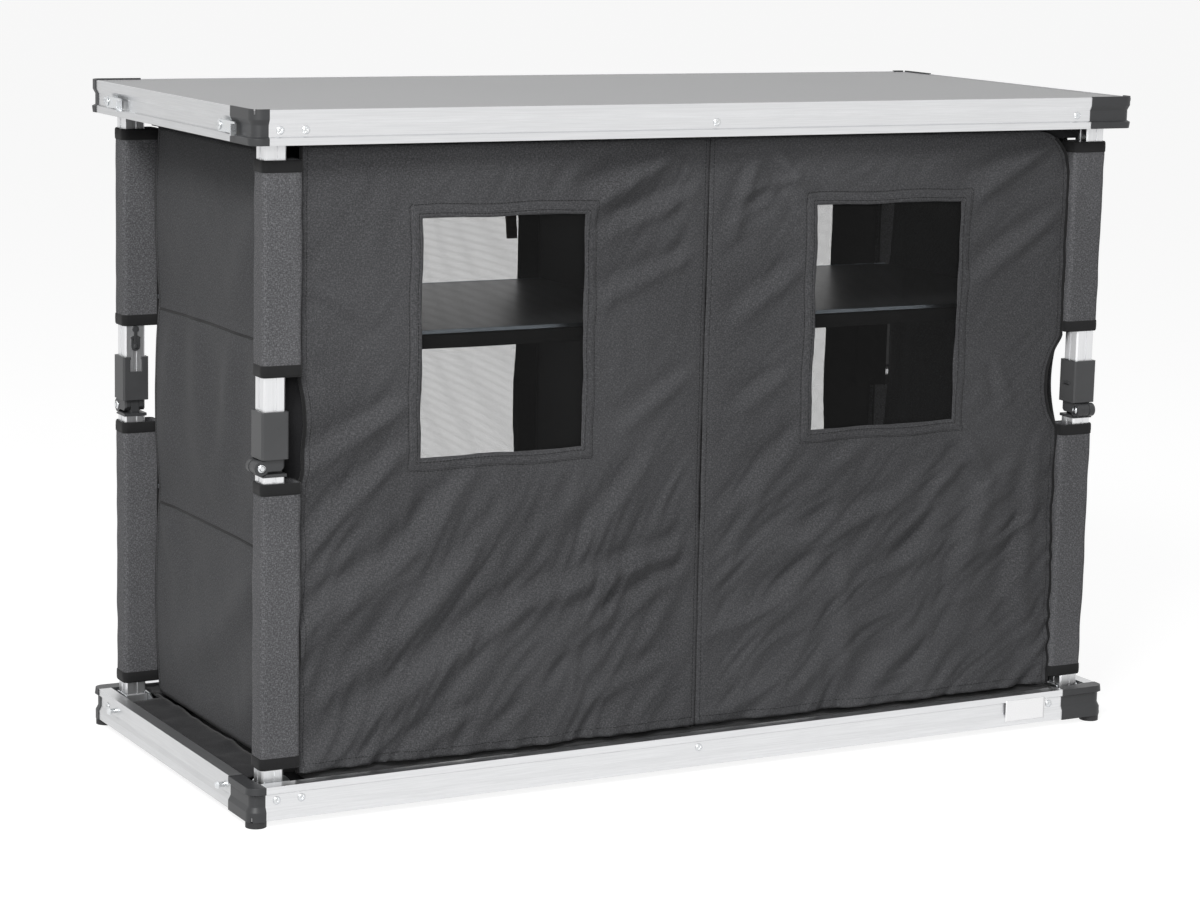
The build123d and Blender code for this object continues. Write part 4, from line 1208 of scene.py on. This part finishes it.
for number, (corner_name, (sx, sy)) in enumerate(leg_corners.items()):
    make_heads("knee_rivets_" + corner_name, "upper_leg_" + corner_name, knee_rivet_sites(number, sx, sy),
               knee_dome, 1.0, 30 + number)
bpy.data.objects.remove(knee_dome)
# Dark sheets behind the knees, as painted shade
for corner_name, (path, low, high) in knee_shade_sheets.items():
    make_knee_shade_sheet(corner_name, path, low, high)


# Camera

eye = (-1.915, -3.450, 1.054)
yaw, pitch, roll = 0.5031, 0.1769, 0.02333
focal_pixels = 3209.0
picture_width = 1200.0
sensor_width = 36.0

forward = Vector((math.sin(yaw) * math.cos(pitch), math.cos(yaw) * math.cos(pitch), -math.sin(pitch)))
level_right = Vector((math.cos(yaw), -math.sin(yaw), 0.0))
level_up = level_right.cross(forward)
right = math.cos(roll) * level_right + math.sin(roll) * level_up
up = -math.sin(roll) * level_right + math.cos(roll) * level_up
lens = bpy.data.cameras.new("viewpoint")
lens.sensor_width = sensor_width
lens.lens = focal_pixels / picture_width * sensor_width
lens.clip_start = 0.1
lens.clip_end = 60.0
camera = placed("viewpoint", lens)
camera.matrix_world = Matrix(((right.x, up.x, -forward.x, eye[0]), (right.y, up.y, -forward.y, eye[1]),
                              (right.z, up.z, -forward.z, eye[2]), (0, 0, 0, 1)))
bpy.context.scene.camera = camera


# Light and ground

def soft_lamp(name, place, target, size, watts):
    data = bpy.data.lights.new(name, "AREA")
    data.shape = "RECTANGLE"
    data.size, data.size_y = size
    data.energy = watts
    lamp = placed(name, data)
    lamp.location = place
    lamp.rotation_euler = (Vector(target) - Vector(place)).to_track_quat("-Z", "Y").to_euler()


def seen_directly(graph):
    """1 for the rays that see the studio itself: camera, glossy and transmission rays."""
    rays = graph.node("ShaderNodeLightPath").outputs
    either = graph.math("MAXIMUM", rays["Is Camera Ray"], rays["Is Glossy Ray"])
    return graph.math("MAXIMUM", either, rays["Is Transmission Ray"])


def white_air():
    """A world that looks white and lights the object dimly from all around."""
    world = bpy.data.worlds.new("studio_air")
    bpy.context.scene.world = world
    world.use_nodes = True
    g = Graph(world.node_tree)
    strength = g.node("ShaderNodeMapRange", {"Value": seen_directly(g), "To Min": 0.20, "To Max": 1.0})
    background = g.node("ShaderNodeBackground", {"Color": (1, 1, 1), "Strength": strength.outputs["Result"]})
    g.node("ShaderNodeOutputWorld", {0: background.outputs[0]})


def pale_ground():
    """Wide pale floor that reads as white to the camera and still takes the object's shadow."""
    material = bpy.data.materials.new("pale_ground")
    material.use_nodes = True
    g = Graph(material.node_tree)
    lit = g.node("ShaderNodeBsdfDiffuse", {"Color": (0.62, 0.62, 0.62)})
    thin = g.node("ShaderNodeBsdfDiffuse", {"Color": (0.26, 0.26, 0.26)})
    glow = g.node("ShaderNodeEmission", {"Strength": 0.88})
    white = g.node("ShaderNodeAddShader", {0: thin.outputs[0], 1: glow.outputs[0]})
    choose = g.node("ShaderNodeMixShader", {0: seen_directly(g), 1: lit.outputs[0], 2: white.outputs[0]})
    g.node("ShaderNodeOutputMaterial", {"Surface": choose.outputs[0]})
    reach = 30.0
    corners = [(-reach, -reach, 0), (reach, -reach, 0), (reach, reach, 0), (-reach, reach, 0)]
    mesh_object("studio_floor", corners, [(0, 1, 2, 3)], material)


soft_lamp("key_softbox", (-2.4, -2.4, 3.2), (-0.2, 0, 0.4), (1.2, 1.2), 105)
soft_lamp("front_softbox", (-2.0, -3.6, 1.9), (-0.2, 0, 0.4), (1.6, 1.2), 42)
soft_lamp("overhead_softbox", (0.4, 0.6, 3.6), (0, 0, 0.5), (2.6, 2.0), 20)
white_air()
pale_ground()
bpy.context.scene.view_settings.view_transform = "Standard"
